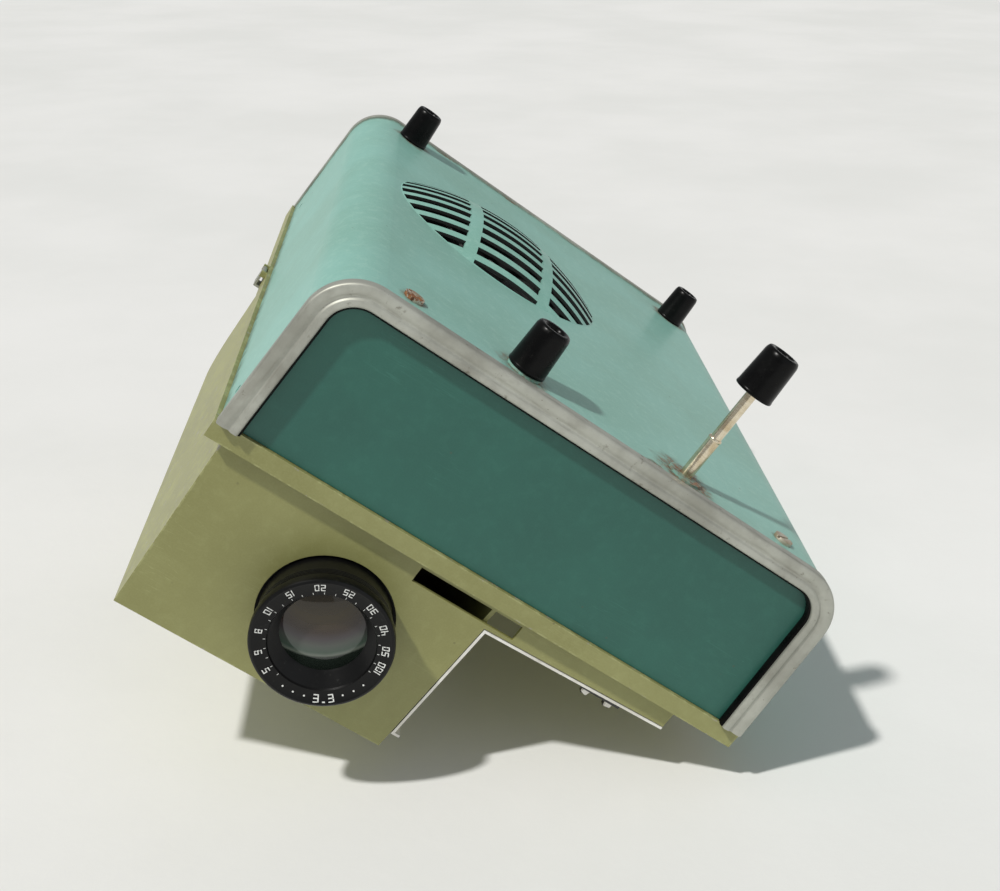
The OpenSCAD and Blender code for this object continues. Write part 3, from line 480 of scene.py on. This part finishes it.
nickel = plated("bright_nickel", (0.72, 0.70, 0.66), (0.44, 0.42, 0.39), rusting=0.02, shine=0.14)
laminations = plated("motor_laminations", (0.16, 0.15, 0.14), (0.07, 0.065, 0.06), rusting=0.1,
                     shine=0.4, metal=0.6)
fan_metal = plated("fan_blade_metal", (0.075, 0.075, 0.072), (0.035, 0.035, 0.033), rusting=0.0,
                   shine=0.45, metal=0.4)
foot_rubber = rubber("foot_rubber")
matt_black = black_enamel("matt_black_enamel", tone=0.012, shine=0.5)
lens_black = black_enamel("lens_black_enamel")
phenolic = moulded("black_phenolic", (0.010, 0.010, 0.010), (0.028, 0.026, 0.024))
lamp_porcelain = ceramic("lamp_ceramic")
marking = white_marking("white_figures")
GLASS_R = 15.0
painted_reflection_glass = coated_lens("lens_glass_painted_reflection", GLASS_R * MM)
condenser_glass = optical_glass("condenser_glass", (0.90, 0.97, 0.94))
green_glass = optical_glass("heat_filter_glass", (0.62, 0.88, 0.78))
lamp_glass = optical_glass("lamp_glass", (0.96, 0.96, 0.94))
mirror_metal = plated("reflector_silver", (0.86, 0.86, 0.85), (0.70, 0.69, 0.67), rusting=0.0,
                      shine=0.04)
winding = copper_winding("varnished_winding")

NODE_FINISHES = {
    mint: ("base_wrap",),
    teal: ("front_panel", "rear_panel"),
    tan_deck: ("deck_plate", "latch_brackets"),
    tan_housing: ("housing_cover",),
    trim_metal: ("front_trim", "rear_trim", "right_latch", "left_latch"),
    inner_metal: ("condenser_cell", "changer_guide", "slide_carrier"),
    liner_metal: ("cutout_liner",),
    zinc: ("leg_crossmember", "left_leg_stop", "right_leg_stop", "motor_bracket", "motor_posts",
           "motor_top_plate", "optical_bench", "heat_glass_holder", "lamp_shield", "focus_guide",
           "fan_shaft", "motor_rotor"),
    worn_screw: ("rear_foot_screws", "deck_screws"),
    rusty: ("base_screws",),
    leg_nickel: ("left_leg_rod", "right_leg_rod"),
    washer_enamel: ("leg_bushes",),
    brass: ("motor_bearings", "lamp_cap", "focus_follower", "inlet_pins"),
    nickel: ("mains_switch", "switch_lever"),
    laminations: ("motor_stator",),
    fan_metal: ("fan_impeller",),
    foot_rubber: ("left_leg_foot", "right_leg_foot", "rear_feet"),
    matt_black: ("fan_shroud", "gate_frame", "lens_bush"),
    lens_black: ("lens_barrel", "lens_ring"),
    phenolic: ("changer_handle", "tray_catch", "power_inlet"),
    lamp_porcelain: ("lamp_socket",),
    painted_reflection_glass: ("front_element", "rear_element"),
    condenser_glass: ("front_condenser", "rear_condenser"),
    green_glass: ("heat_glass",),
    lamp_glass: ("lamp_bulb",),
    mirror_metal: ("reflector",),
    winding: ("motor_coil",),
}
for finish, names in NODE_FINISHES.items():
    for name in names:
        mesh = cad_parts[name].data
        for index in range(len(mesh.materials)):
            mesh.materials[index] = finish
        if not mesh.materials:
            mesh.materials.append(finish)


# ---- making small parts ----

def piece(name, shape, finish, body, smooth=35.0):
    """Turns a bmesh, drawn in place, into a piece that moves with a body."""
    bmesh.ops.remove_doubles(shape, verts=shape.verts, dist=0.001 * MM)
    bmesh.ops.recalc_face_normals(shape, faces=shape.faces)
    mesh = bpy.data.meshes.new(name)
    shape.to_mesh(mesh)
    shape.free()
    mesh.materials.append(finish)
    made = bpy.data.objects.new(name, mesh)
    bpy.context.scene.collection.objects.link(made)
    mesh.shade_smooth()
    mesh.set_sharp_from_angle(angle=math.radians(smooth))
    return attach(made, body)


def add_turned(shape, profile, centre, axis="Z", steps=64):
    """Adds a turned shape: profile is (radius, distance along the axis) in millimetres."""
    rings = []
    for radius, distance in profile:
        ring = []
        for step in range(steps if radius > 0 else 1):
            a = 2 * math.pi * step / steps
            across, up = radius * MM * math.cos(a), radius * MM * math.sin(a)
            if axis == "Z":
                offset = Vector((across, up, distance * MM))
            else:
                offset = Vector((across, distance * MM, up))
            ring.append(shape.verts.new(Vector(centre) + offset))
        rings.append(ring)
    for near, far in zip(rings, rings[1:]):
        for step in range(steps):
            corners = [near[step % len(near)], near[(step + 1) % len(near)],
                       far[(step + 1) % len(far)], far[step % len(far)]]
            corners = list(dict.fromkeys(corners))
            if len(corners) > 2:
                shape.faces.new(corners)


def rounded(points, radius=0.5, steps=4):
    """Rounds the inner corners of a profile line of (radius, distance) points."""
    line = [points[0]]
    for before, corner, after in zip(points, points[1:], points[2:]):
        here = Vector(corner)
        back, on = Vector(before) - here, Vector(after) - here
        cut = min(radius, back.length * 0.45, on.length * 0.45)
        start, end = here + back.normalized() * cut, here + on.normalized() * cut
        for step in range(steps + 1):
            t = step / steps
            spot = start * (1 - t) ** 2 + here * 2 * t * (1 - t) + end * t ** 2
            line.append((spot.x, spot.y))
    line.append(points[-1])
    return line


# ---- trims ----

# the base's section, in millimetres: its sides lean outwards towards the deck
BASE_WIDTH = 212.0
CORNER_R = 18.0
HALF_BOTTOM = BASE_WIDTH / 2 - CORNER_R
LEAN = math.radians(2.85)
TOP_Z = 66.0


def base_line():
    """Points down one side, along the bottom and up the other, each with its outward way."""
    arc_steps = 22
    tangent_x = HALF_BOTTOM + CORNER_R * math.cos(LEAN)
    tangent_z = CORNER_R - CORNER_R * math.sin(LEAN)
    top_x = tangent_x + (TOP_Z - tangent_z) * math.tan(LEAN)
    side_way = Vector((math.cos(LEAN), -math.sin(LEAN)))
    line = [(Vector((top_x, TOP_Z)), side_way)]
    for step in range(arc_steps + 1):
        a = -LEAN - (math.pi / 2 - LEAN) * step / arc_steps
        way = Vector((math.cos(a), math.sin(a)))
        line.append((Vector((HALF_BOTTOM, CORNER_R)) + way * CORNER_R, way))
    mirrored = [(Vector((-p.x, p.y)), Vector((-w.x, w.y))) for p, w in reversed(line)]
    return line + mirrored


def trim(name, profile, y, finish=trim_metal):
    """A drawn strip: profile is (outward, along Y) in millimetres, run round the base."""
    shape = bmesh.new()
    sections = []
    for place, way in base_line():
        section = []
        for out, back in profile:
            at = place + way * out
            section.append(shape.verts.new((at.x * MM, y + back * MM, at.y * MM)))
        sections.append(section)
    count = len(profile)
    for near, far in zip(sections, sections[1:]):
        for step in range(count):
            after = (step + 1) % count
            shape.faces.new((near[step], near[after], far[after], far[step]))
    for end in (sections[0], sections[-1]):
        shape.faces.new(end)
    return piece(name, shape, finish, "base", smooth=50.0)


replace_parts(trim("front_trim_drawn", [
    (0.06, 3.2), (0.72, 3.2), (0.9, 3.0), (0.9, -0.7), (0.8, -1.15), (0.45, -1.5), (-0.1, -1.68),
    (-1.3, -1.7), (-2.2, -1.55), (-2.9, -1.2), (-3.35, -0.95), (-3.8, -0.9), (-4.1, -1.0),
    (-4.4, -1.4), (-4.8, -1.6), (-5.6, -1.66), (-6.5, -1.6), (-7.0, -1.35), (-7.2, -0.95),
    (-7.2, 0.9), (-6.8, 0.9), (-6.8, -0.1), (0.06, -0.1)], FRONT_Y), "front_trim")
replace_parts(trim("rear_trim_drawn", [
    (0.06, -3.0), (0.75, -3.0), (0.9, -2.8), (0.9, 0.35), (0.7, 0.7), (0.3, 0.88), (-0.8, 0.9),
    (-2.4, 0.86), (-3.0, 0.7), (-3.2, 0.35), (-3.2, 0.05), (0.06, 0.05)],
    REAR_Y), "rear_trim")
# dark rubber strip inside the front trim, beside the panel: painted shade, standing for the
# shadow in the gap between trim and panel
trim("front_panel_shade_strip", [(-6.9, -0.2), (-7.7, -0.3), (-8.1, 0.1), (-8.2, 2.85), (-6.9, 2.85)],
     FRONT_Y, foot_rubber)


# ---- rubber feet ----

def foot_profile(length=16.8, radius=7.2):
    """A tapered foot, hollow at its end, with a small step where it meets its seat."""
    return rounded([
        (0.01, 0.0), (radius, 0.0), (radius, -0.9), (radius - 0.15, -1.3),
        (radius - 0.75, -length + 1.6), (radius - 1.35, -length), (3.9, -length),
        (3.3, -length + 1.3), (3.1, -length + 5.0), (0.01, -length + 5.0)], 0.8)


THIN_ROD = 20.0      # length of a leg's thin part above its foot
SEAT_GAP = 0.05      # keeps the rear feet just clear of the painted sheet
shape = bmesh.new()
for side in (-1, 1):
    add_turned(shape, foot_profile(), (side * FOOT_X, FOOT_Y, -SEAT_GAP * MM))
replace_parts(piece("rear_rubber_feet", shape, foot_rubber, "base"), "rear_feet")
for side, leg in ((-1, "left_leg"), (1, "right_leg")):
    low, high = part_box(leg + "_foot")
    shape = bmesh.new()
    add_turned(shape, foot_profile(), ((low.x + high.x) / 2, (low.y + high.y) / 2, high.z))
    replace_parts(piece(leg + "_rubber_foot", shape, foot_rubber, leg),
                leg + "_foot")
    # rolled rim where the rod steps up to its thick part
    shape = bmesh.new()
    add_turned(shape, [(2.0, -0.3), (2.3, -0.3), (2.55, 0.0), (2.6, 0.5), (2.45, 0.9),
                       (2.0, 0.9), (2.0, -0.3)],
               (side * LEG_X, 0.0, high.z + THIN_ROD * MM), steps=32)
    piece(leg + "_rim", shape, leg_nickel, leg)


# ---- lens ----

# distances along the lens are in millimetres back from the front of its ring
RING_FRONT = RING_LOW.y
ring_len = (RING_HIGH.y - RING_FRONT) / MM
LENS_MIDDLE = (LENS_X, RING_FRONT, LENS_Z)
FACE_R = (23.1, 18.7)        # the numbered face, from its outer to its inner edge
FACE_Y = (0.28, 0.95)
CONE_R = (FACE_R[1], GLASS_R)
CONE_Y = (FACE_Y[1], 8.2)
ring_profile = [(CONE_R[1], CONE_Y[1])]
for groove in range(9, 0, -1):
    share = groove / 10
    radius = CONE_R[0] + (CONE_R[1] - CONE_R[0]) * share
    deep = CONE_Y[0] + (CONE_Y[1] - CONE_Y[0]) * share
    ring_profile += [(radius + 0.22, deep + 0.25), (radius - 0.05, deep)]
ring_profile += [
    (FACE_R[1], FACE_Y[1]), (FACE_R[0], FACE_Y[0]), (23.6, 0.0), (24.1, 0.1),
    (24.65, 0.55), (24.9, 1.2), (24.9, ring_len - 1.4), (24.6, ring_len - 0.9),
    (24.2, ring_len - 0.75), (24.2, ring_len), (19.6, ring_len), (19.6, 9.4),
    (CONE_R[1], 9.4), (CONE_R[1], CONE_Y[1])]
shape = bmesh.new()
add_turned(shape, ring_profile, LENS_MIDDLE, axis="Y", steps=128)
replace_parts(piece("lens_front_ring", shape, lens_black, "lens", smooth=28.0),
            "lens_ring")

# fine grip ribs round the barrel just behind the ring
shape = bmesh.new()
rib_profile = []
for rib in range(5):
    start = ring_len + 0.4 + rib * 0.9
    rib_profile += [(23.55, start), (23.95, start + 0.15), (23.95, start + 0.5),
                    (23.55, start + 0.65)]
rib_profile += [(23.3, rib_profile[-1][1]), (23.3, ring_len + 0.4), (23.55, ring_len + 0.4)]
add_turned(shape, rib_profile, LENS_MIDDLE, axis="Y", steps=96)
piece("lens_grip_ribs", shape, lens_black, "lens", smooth=28.0)

# front glass: a domed disc in the mouth of the cone, and the stepped mount behind it
DOME_TOP = 5.9
DOME_RISE = 2.4
GLASS_BACK = 9.3
DOME_STEPS = 16
shape = bmesh.new()
dome = [(0.0, DOME_TOP)]
for step in range(1, DOME_STEPS + 1):
    share = step / DOME_STEPS
    dome.append((GLASS_R * share, DOME_TOP + DOME_RISE * share ** 2))
add_turned(shape, dome + [(GLASS_R, GLASS_BACK), (0.0, GLASS_BACK)], LENS_MIDDLE, axis="Y",
           steps=96)
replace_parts(piece("front_glass", shape, painted_reflection_glass, "lens", smooth=60.0),
            "front_element")
shape = bmesh.new()
add_turned(shape, [(14.9, 9.8), (14.9, 11.4), (14.2, 11.6), (14.1, 14.5), (13.2, 14.7),
                   (13.0, 19.0), (17.6, 19.2), (17.8, 9.8), (14.9, 9.8)],
           LENS_MIDDLE, axis="Y", steps=96)
piece("lens_inner_mount", shape, lens_black, "lens")


def ring_place(angle, radius, lift=0.03):
    """A point on the ring's sloping face; angle is 0 at its lowest point as it stands."""
    inward = (FACE_R[0] - radius) / (FACE_R[0] - FACE_R[1])
    depth = FACE_Y[0] + inward * (FACE_Y[1] - FACE_Y[0]) - lift
    return Vector((LENS_X + radius * MM * math.sin(angle), RING_FRONT + depth * MM,
                   LENS_Z + radius * MM * math.cos(angle)))


def add_mark(shape, outline, angle, radius, height):
    """Adds a flat figure on the ring's face, its top towards the lens's middle."""
    for loop in outline:
        corners = []
        for across, up in loop:
            spin = across * height / radius
            corners.append(shape.verts.new(ring_place(angle - spin,
                                                      radius - (up - 0.5) * height)))
        shape.faces.new(corners)


CELL = 0.55


def bar(x0, y0, x1, y1, width=0.16):
    """One stroke of a figure, in a cell CELL wide and 1 high."""
    a, b = Vector((x0, y0)), Vector((x1, y1))
    along = (b - a).normalized() * width / 2
    side = Vector((-along.y, along.x))
    return [tuple(a - along - side), tuple(b + along - side), tuple(b + along + side),
            tuple(a - along + side)]


SEGMENTS = {"a": (0, 1, CELL, 1), "b": (CELL, 1, CELL, 0.5), "c": (CELL, 0.5, CELL, 0),
            "d": (0, 0, CELL, 0), "e": (0, 0.5, 0, 0), "f": (0, 1, 0, 0.5),
            "g": (0, 0.5, CELL, 0.5)}
FIGURES = {"0": "abcdef", "1": "bc", "2": "abged", "3": "abgcd", "4": "fgbc", "5": "afgcd",
           "6": "afgedc", "8": "abcdefg"}


def add_figures(shape, text, angle, radius=21.6, height=2.2):
    """Plain numbers, one after another along the ring."""
    pitch = 0.95
    start = -(len(text) - 1) * pitch / 2
    for index, figure in enumerate(text):
        shift = start + index * pitch - CELL / 2
        if figure == ".":
            loops = [bar(0.2, 0.02, 0.34, 0.02, 0.2)]
        else:
            loops = [bar(*SEGMENTS[s]) for s in FIGURES[figure]]
        loops = [[(x + shift, y) for x, y in loop] for loop in loops]
        add_mark(shape, loops, angle, radius, height)


def add_dot(shape, angle, radius=21.3, size=0.34, steps=12):
    """A round dot on the ring's face."""
    loop = []
    for step in range(steps):
        turn = 2 * math.pi * step / steps
        loop.append((size * math.cos(turn), 0.5 + size * math.sin(turn)))
    add_mark(shape, [loop], angle, radius, 1.0)


# where the ring's figure 3.3 stands: the side of the ring away from the base
FIGURE_TURN = math.radians(-34.0)
shape = bmesh.new()
add_figures(shape, "3.3", FIGURE_TURN, height=2.7)
for spread in (18, 29, 40):
    for side in (-1, 1):
        add_dot(shape, FIGURE_TURN + side * math.radians(spread))
for degrees, text in ((62, "5"), (82, "6"), (104, "8"), (128, "10"), (154, "15"), (180, "20"),
                      (206, "25"), (232, "30"), (256, "40"), (278, "50"), (298, "100")):
    add_figures(shape, text, FIGURE_TURN + math.radians(degrees))
TICK = bar(0, 0, 0, 0.55, 0.2)
TICK_R = 19.1
for degrees in range(52, 52 + 24 * 11, 11):
    add_mark(shape, [TICK], FIGURE_TURN + math.radians(degrees), TICK_R, 1.0)
piece("lens_ring_figures", shape, marking, "lens", smooth=20.0)


# ---- softened edges on sheet metal and mouldings ----

def soften(node, width, angle=32.0):
    """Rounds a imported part's sharp edges a little."""
    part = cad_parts[node]
    weld = part.modifiers.new("weld", "WELD")
    weld.merge_threshold = 0.002 * MM
    bevel = part.modifiers.new("soft_edges", "BEVEL")
    bevel.width = width * MM
    bevel.segments = 2
    bevel.limit_method = "ANGLE"
    bevel.angle_limit = math.radians(angle)
    bevel.harden_normals = False
    bevel.use_clamp_overlap = True


for node, width in (("deck_plate", 0.55), ("housing_cover", 0.45), ("changer_handle", 0.9),
                    ("tray_catch", 0.4), ("right_latch", 0.3), ("left_latch", 0.3),
                    ("base_screws", 0.25), ("deck_screws", 0.25), ("power_inlet", 0.4),
                    ("changer_guide", 0.25), ("cutout_liner", 0.12)):
    soften(node, width)


# ---- catch behind the low wall: its two bright tabs ----

catch_low, catch_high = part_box("tray_catch")
for index, x in enumerate((catch_low.x + 4.2 * MM, catch_high.x - 2.8 * MM)):
    shape = bmesh.new()
    tab = bmesh.ops.create_cube(shape, size=1.0)
    bmesh.ops.scale(shape, vec=(3.0 * MM, 1.2 * MM, 3.4 * MM), verts=tab["verts"])
    bmesh.ops.bevel(shape, geom=shape.edges[:], offset=0.35 * MM, segments=2, affect="EDGES")
    lean = 0.35 if index else -0.15
    bmesh.ops.rotate(shape, cent=(0, 0, 0), matrix=Matrix.Rotation(lean, 3, "Y"),
                     verts=shape.verts)
    bmesh.ops.translate(shape, vec=(x, catch_low.y + 0.9 * MM, catch_high.z - 2.0 * MM),
                        verts=shape.verts)
    piece("catch_tab_%d" % (index + 1), shape, liner_metal, "tray_catch")


# ---- rear panel: screws and the switch's nut ----

PANEL_Y = REAR_Y - 3.0 * MM


def add_screw_head(shape, x, z, y, radius=2.6, turn=0.6):
    """A slotted pan head that faces the rear."""
    add_turned(shape, [(0.0, 1.3), (radius * 0.55, 1.25), (radius * 0.9, 0.85), (radius, 0.3),
                       (radius, -0.2), (0.0, -0.2)], (x, y, z), axis="Y", steps=28)
    slot = bmesh.ops.create_cube(shape, size=1.0)
    bmesh.ops.scale(shape, vec=(radius * 1.5 * MM, 0.12 * MM, 0.5 * MM), verts=slot["verts"])
    bmesh.ops.rotate(shape, cent=(0, 0, 0), matrix=Matrix.Rotation(turn, 3, "Y"),
                     verts=slot["verts"])
    bmesh.ops.translate(shape, vec=(x, y + 1.28 * MM, z), verts=slot["verts"])


shape = bmesh.new()
for index, (x, z) in enumerate(((-96, 56), (96, 56), (-84, 12), (84, 12))):
    add_screw_head(shape, x * MM, z * MM, PANEL_Y, turn=0.5 + index * 0.7)
piece("rear_panel_screws", shape, worn_screw, "base")

NUT_R, NUT_BORE = 7.8 * MM, 6.05 * MM
NUT_SIDES = 6
NUT_TURN = math.radians(15)
switch_low, switch_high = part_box("mains_switch")
switch_x = (switch_low.x + switch_high.x) / 2
switch_z = (switch_low.z + switch_high.z) / 2
shape = bmesh.new()
outer, bore = [], []
for y in (REAR_Y - 0.4 * MM, REAR_Y + 2.0 * MM):
    for corner in range(NUT_SIDES):
        a = 2 * math.pi * corner / NUT_SIDES + NUT_TURN
        for ring, radius in ((outer, NUT_R), (bore, NUT_BORE)):
            ring.append(shape.verts.new((switch_x + radius * math.cos(a), y,
                                         switch_z + radius * math.sin(a))))
for k in range(NUT_SIDES):
    n = (k + 1) % NUT_SIDES
    far_k, far_n = NUT_SIDES + k, NUT_SIDES + n
    shape.faces.new((outer[k], outer[n], outer[far_n], outer[far_k]))
    shape.faces.new((bore[k], bore[far_k], bore[far_n], bore[n]))
    shape.faces.new((outer[k], bore[k], bore[n], outer[n]))
    shape.faces.new((outer[far_k], outer[far_n], bore[far_n], bore[far_k]))
nut = piece("switch_nut", shape, nickel, "base", smooth=20.0)
nut_edges = nut.modifiers.new("soft_edges", "BEVEL")
nut_edges.width = 0.3 * MM
nut_edges.segments = 2


# ---- floor, light and camera ----

def pale_floor():
    """A pale sheet, seen from its upper side only, so it hides nothing in views from below."""
    f = Finish("pale_floor", IOR=1.45)
    cloud = f.noise(3.0, 5.0, 0.6)
    fine = f.noise(160.0, 3.0, 0.6)
    colour = f.blend(f.fade(cloud, 0.3, 0.7), (0.74, 0.745, 0.73), (0.80, 0.80, 0.79))
    f.wear(colour, 0.62 + fine * 0.1, None, fine, 0.1 * MM)
    unseen = f.node("ShaderNodeNewGeometry", output="Backfacing").most(
        f.node("ShaderNodeLightPath", output="Is Shadow Ray"))
    both = f.node("ShaderNodeMixShader", None, {
        0: unseen, 1: Level(f, f.shader.outputs[0]), 2: f.node("ShaderNodeBsdfTransparent")})
    f.tree.links.new(both.socket, f.tree.nodes["Material Output"].inputs["Surface"])
    return f.material


# the floor runs beside the line through the deck's left edge and the housing roof's left
# edge, a little below it so that the shadow reaches far enough
FLOOR_DROP = 16.0 * MM
FLOOR_REACH = 9.0
ROOF_EDGE_X = -5.0 * MM
deck_edge = Vector((DECK_LOW.x, 0.0, DECK_Z))
roof_edge = Vector((ROOF_EDGE_X, 0.0, HOUSE_HIGH.z))
slope = (roof_edge - deck_edge).normalized()
floor_up = Vector((slope.z, 0.0, -slope.x))
floor_side = Vector((0, 1, 0))
floor_across = floor_side.cross(floor_up)
floor_middle = deck_edge - floor_up * FLOOR_DROP
shape = bmesh.new()
corners = [floor_middle + (floor_side * a + floor_across * b) * FLOOR_REACH
           for a, b in ((-1, -1), (1, -1), (1, 1), (-1, 1))]
face = shape.faces.new([shape.verts.new(c) for c in corners])
face.normal_update()
if face.normal.dot(floor_up) < 0:
    face.normal_flip()
floor_mesh = bpy.data.meshes.new("floor")
shape.to_mesh(floor_mesh)
shape.free()
floor_mesh.materials.append(pale_floor())
floor = bpy.data.objects.new("floor", floor_mesh)
bpy.context.scene.collection.objects.link(floor)
floor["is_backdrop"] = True


def sun(name, source, strength, spread, colour=(1, 1, 1)):
    """A distant light that shines from the given way."""
    lamp = bpy.data.lights.new(name, "SUN")
    lamp.energy = strength
    lamp.angle = math.radians(spread)
    lamp.color = colour
    made = bpy.data.objects.new(name, lamp)
    made.rotation_mode = "QUATERNION"
    made.rotation_quaternion = Vector(source).to_track_quat("Z", "Y")
    bpy.context.scene.collection.objects.link(made)


sun("key_light", (0.807, -0.322, -0.495), 2.7, 3.0, (1.0, 0.98, 0.94))
sun("fill_light", (-0.35, -0.8, -0.45), 0.25, 60.0, (0.92, 0.96, 1.0))
sun("rear_light", (-0.45, 0.50, 0.74), 0.8, 25.0, (1.0, 0.98, 0.95))

world = bpy.data.worlds.new("studio")
world.use_nodes = True
backdrop = world.node_tree.nodes["Background"]
backdrop.inputs["Color"].default_value = (0.90, 0.93, 0.95, 1.0)
backdrop.inputs["Strength"].default_value = 0.34
bpy.context.scene.world = world
bpy.context.scene.view_settings.view_transform = "Standard"

camera_data = bpy.data.cameras.new("camera")
camera_data.sensor_width = 36.0
camera_data.lens = 49.72         # millimetres, for the 36 mm wide frame
camera_data.clip_start = 0.01
camera_data.clip_end = 50.0
camera = bpy.data.objects.new("camera", camera_data)
bpy.context.scene.collection.objects.link(camera)
# it looks at the projector's underside and front from below, turned on its side
CAMERA_PLACE = (0.14974, -0.42705, -0.11078)
right = Vector((-0.81354, -0.05172, -0.57920))
up = Vector((0.51618, 0.39446, -0.76024))
back = right.cross(up)
camera.matrix_world = Matrix.Translation(CAMERA_PLACE) @ Matrix(
    (right, up, back)).transposed().to_4x4()
bpy.context.scene.camera = camera

low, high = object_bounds()
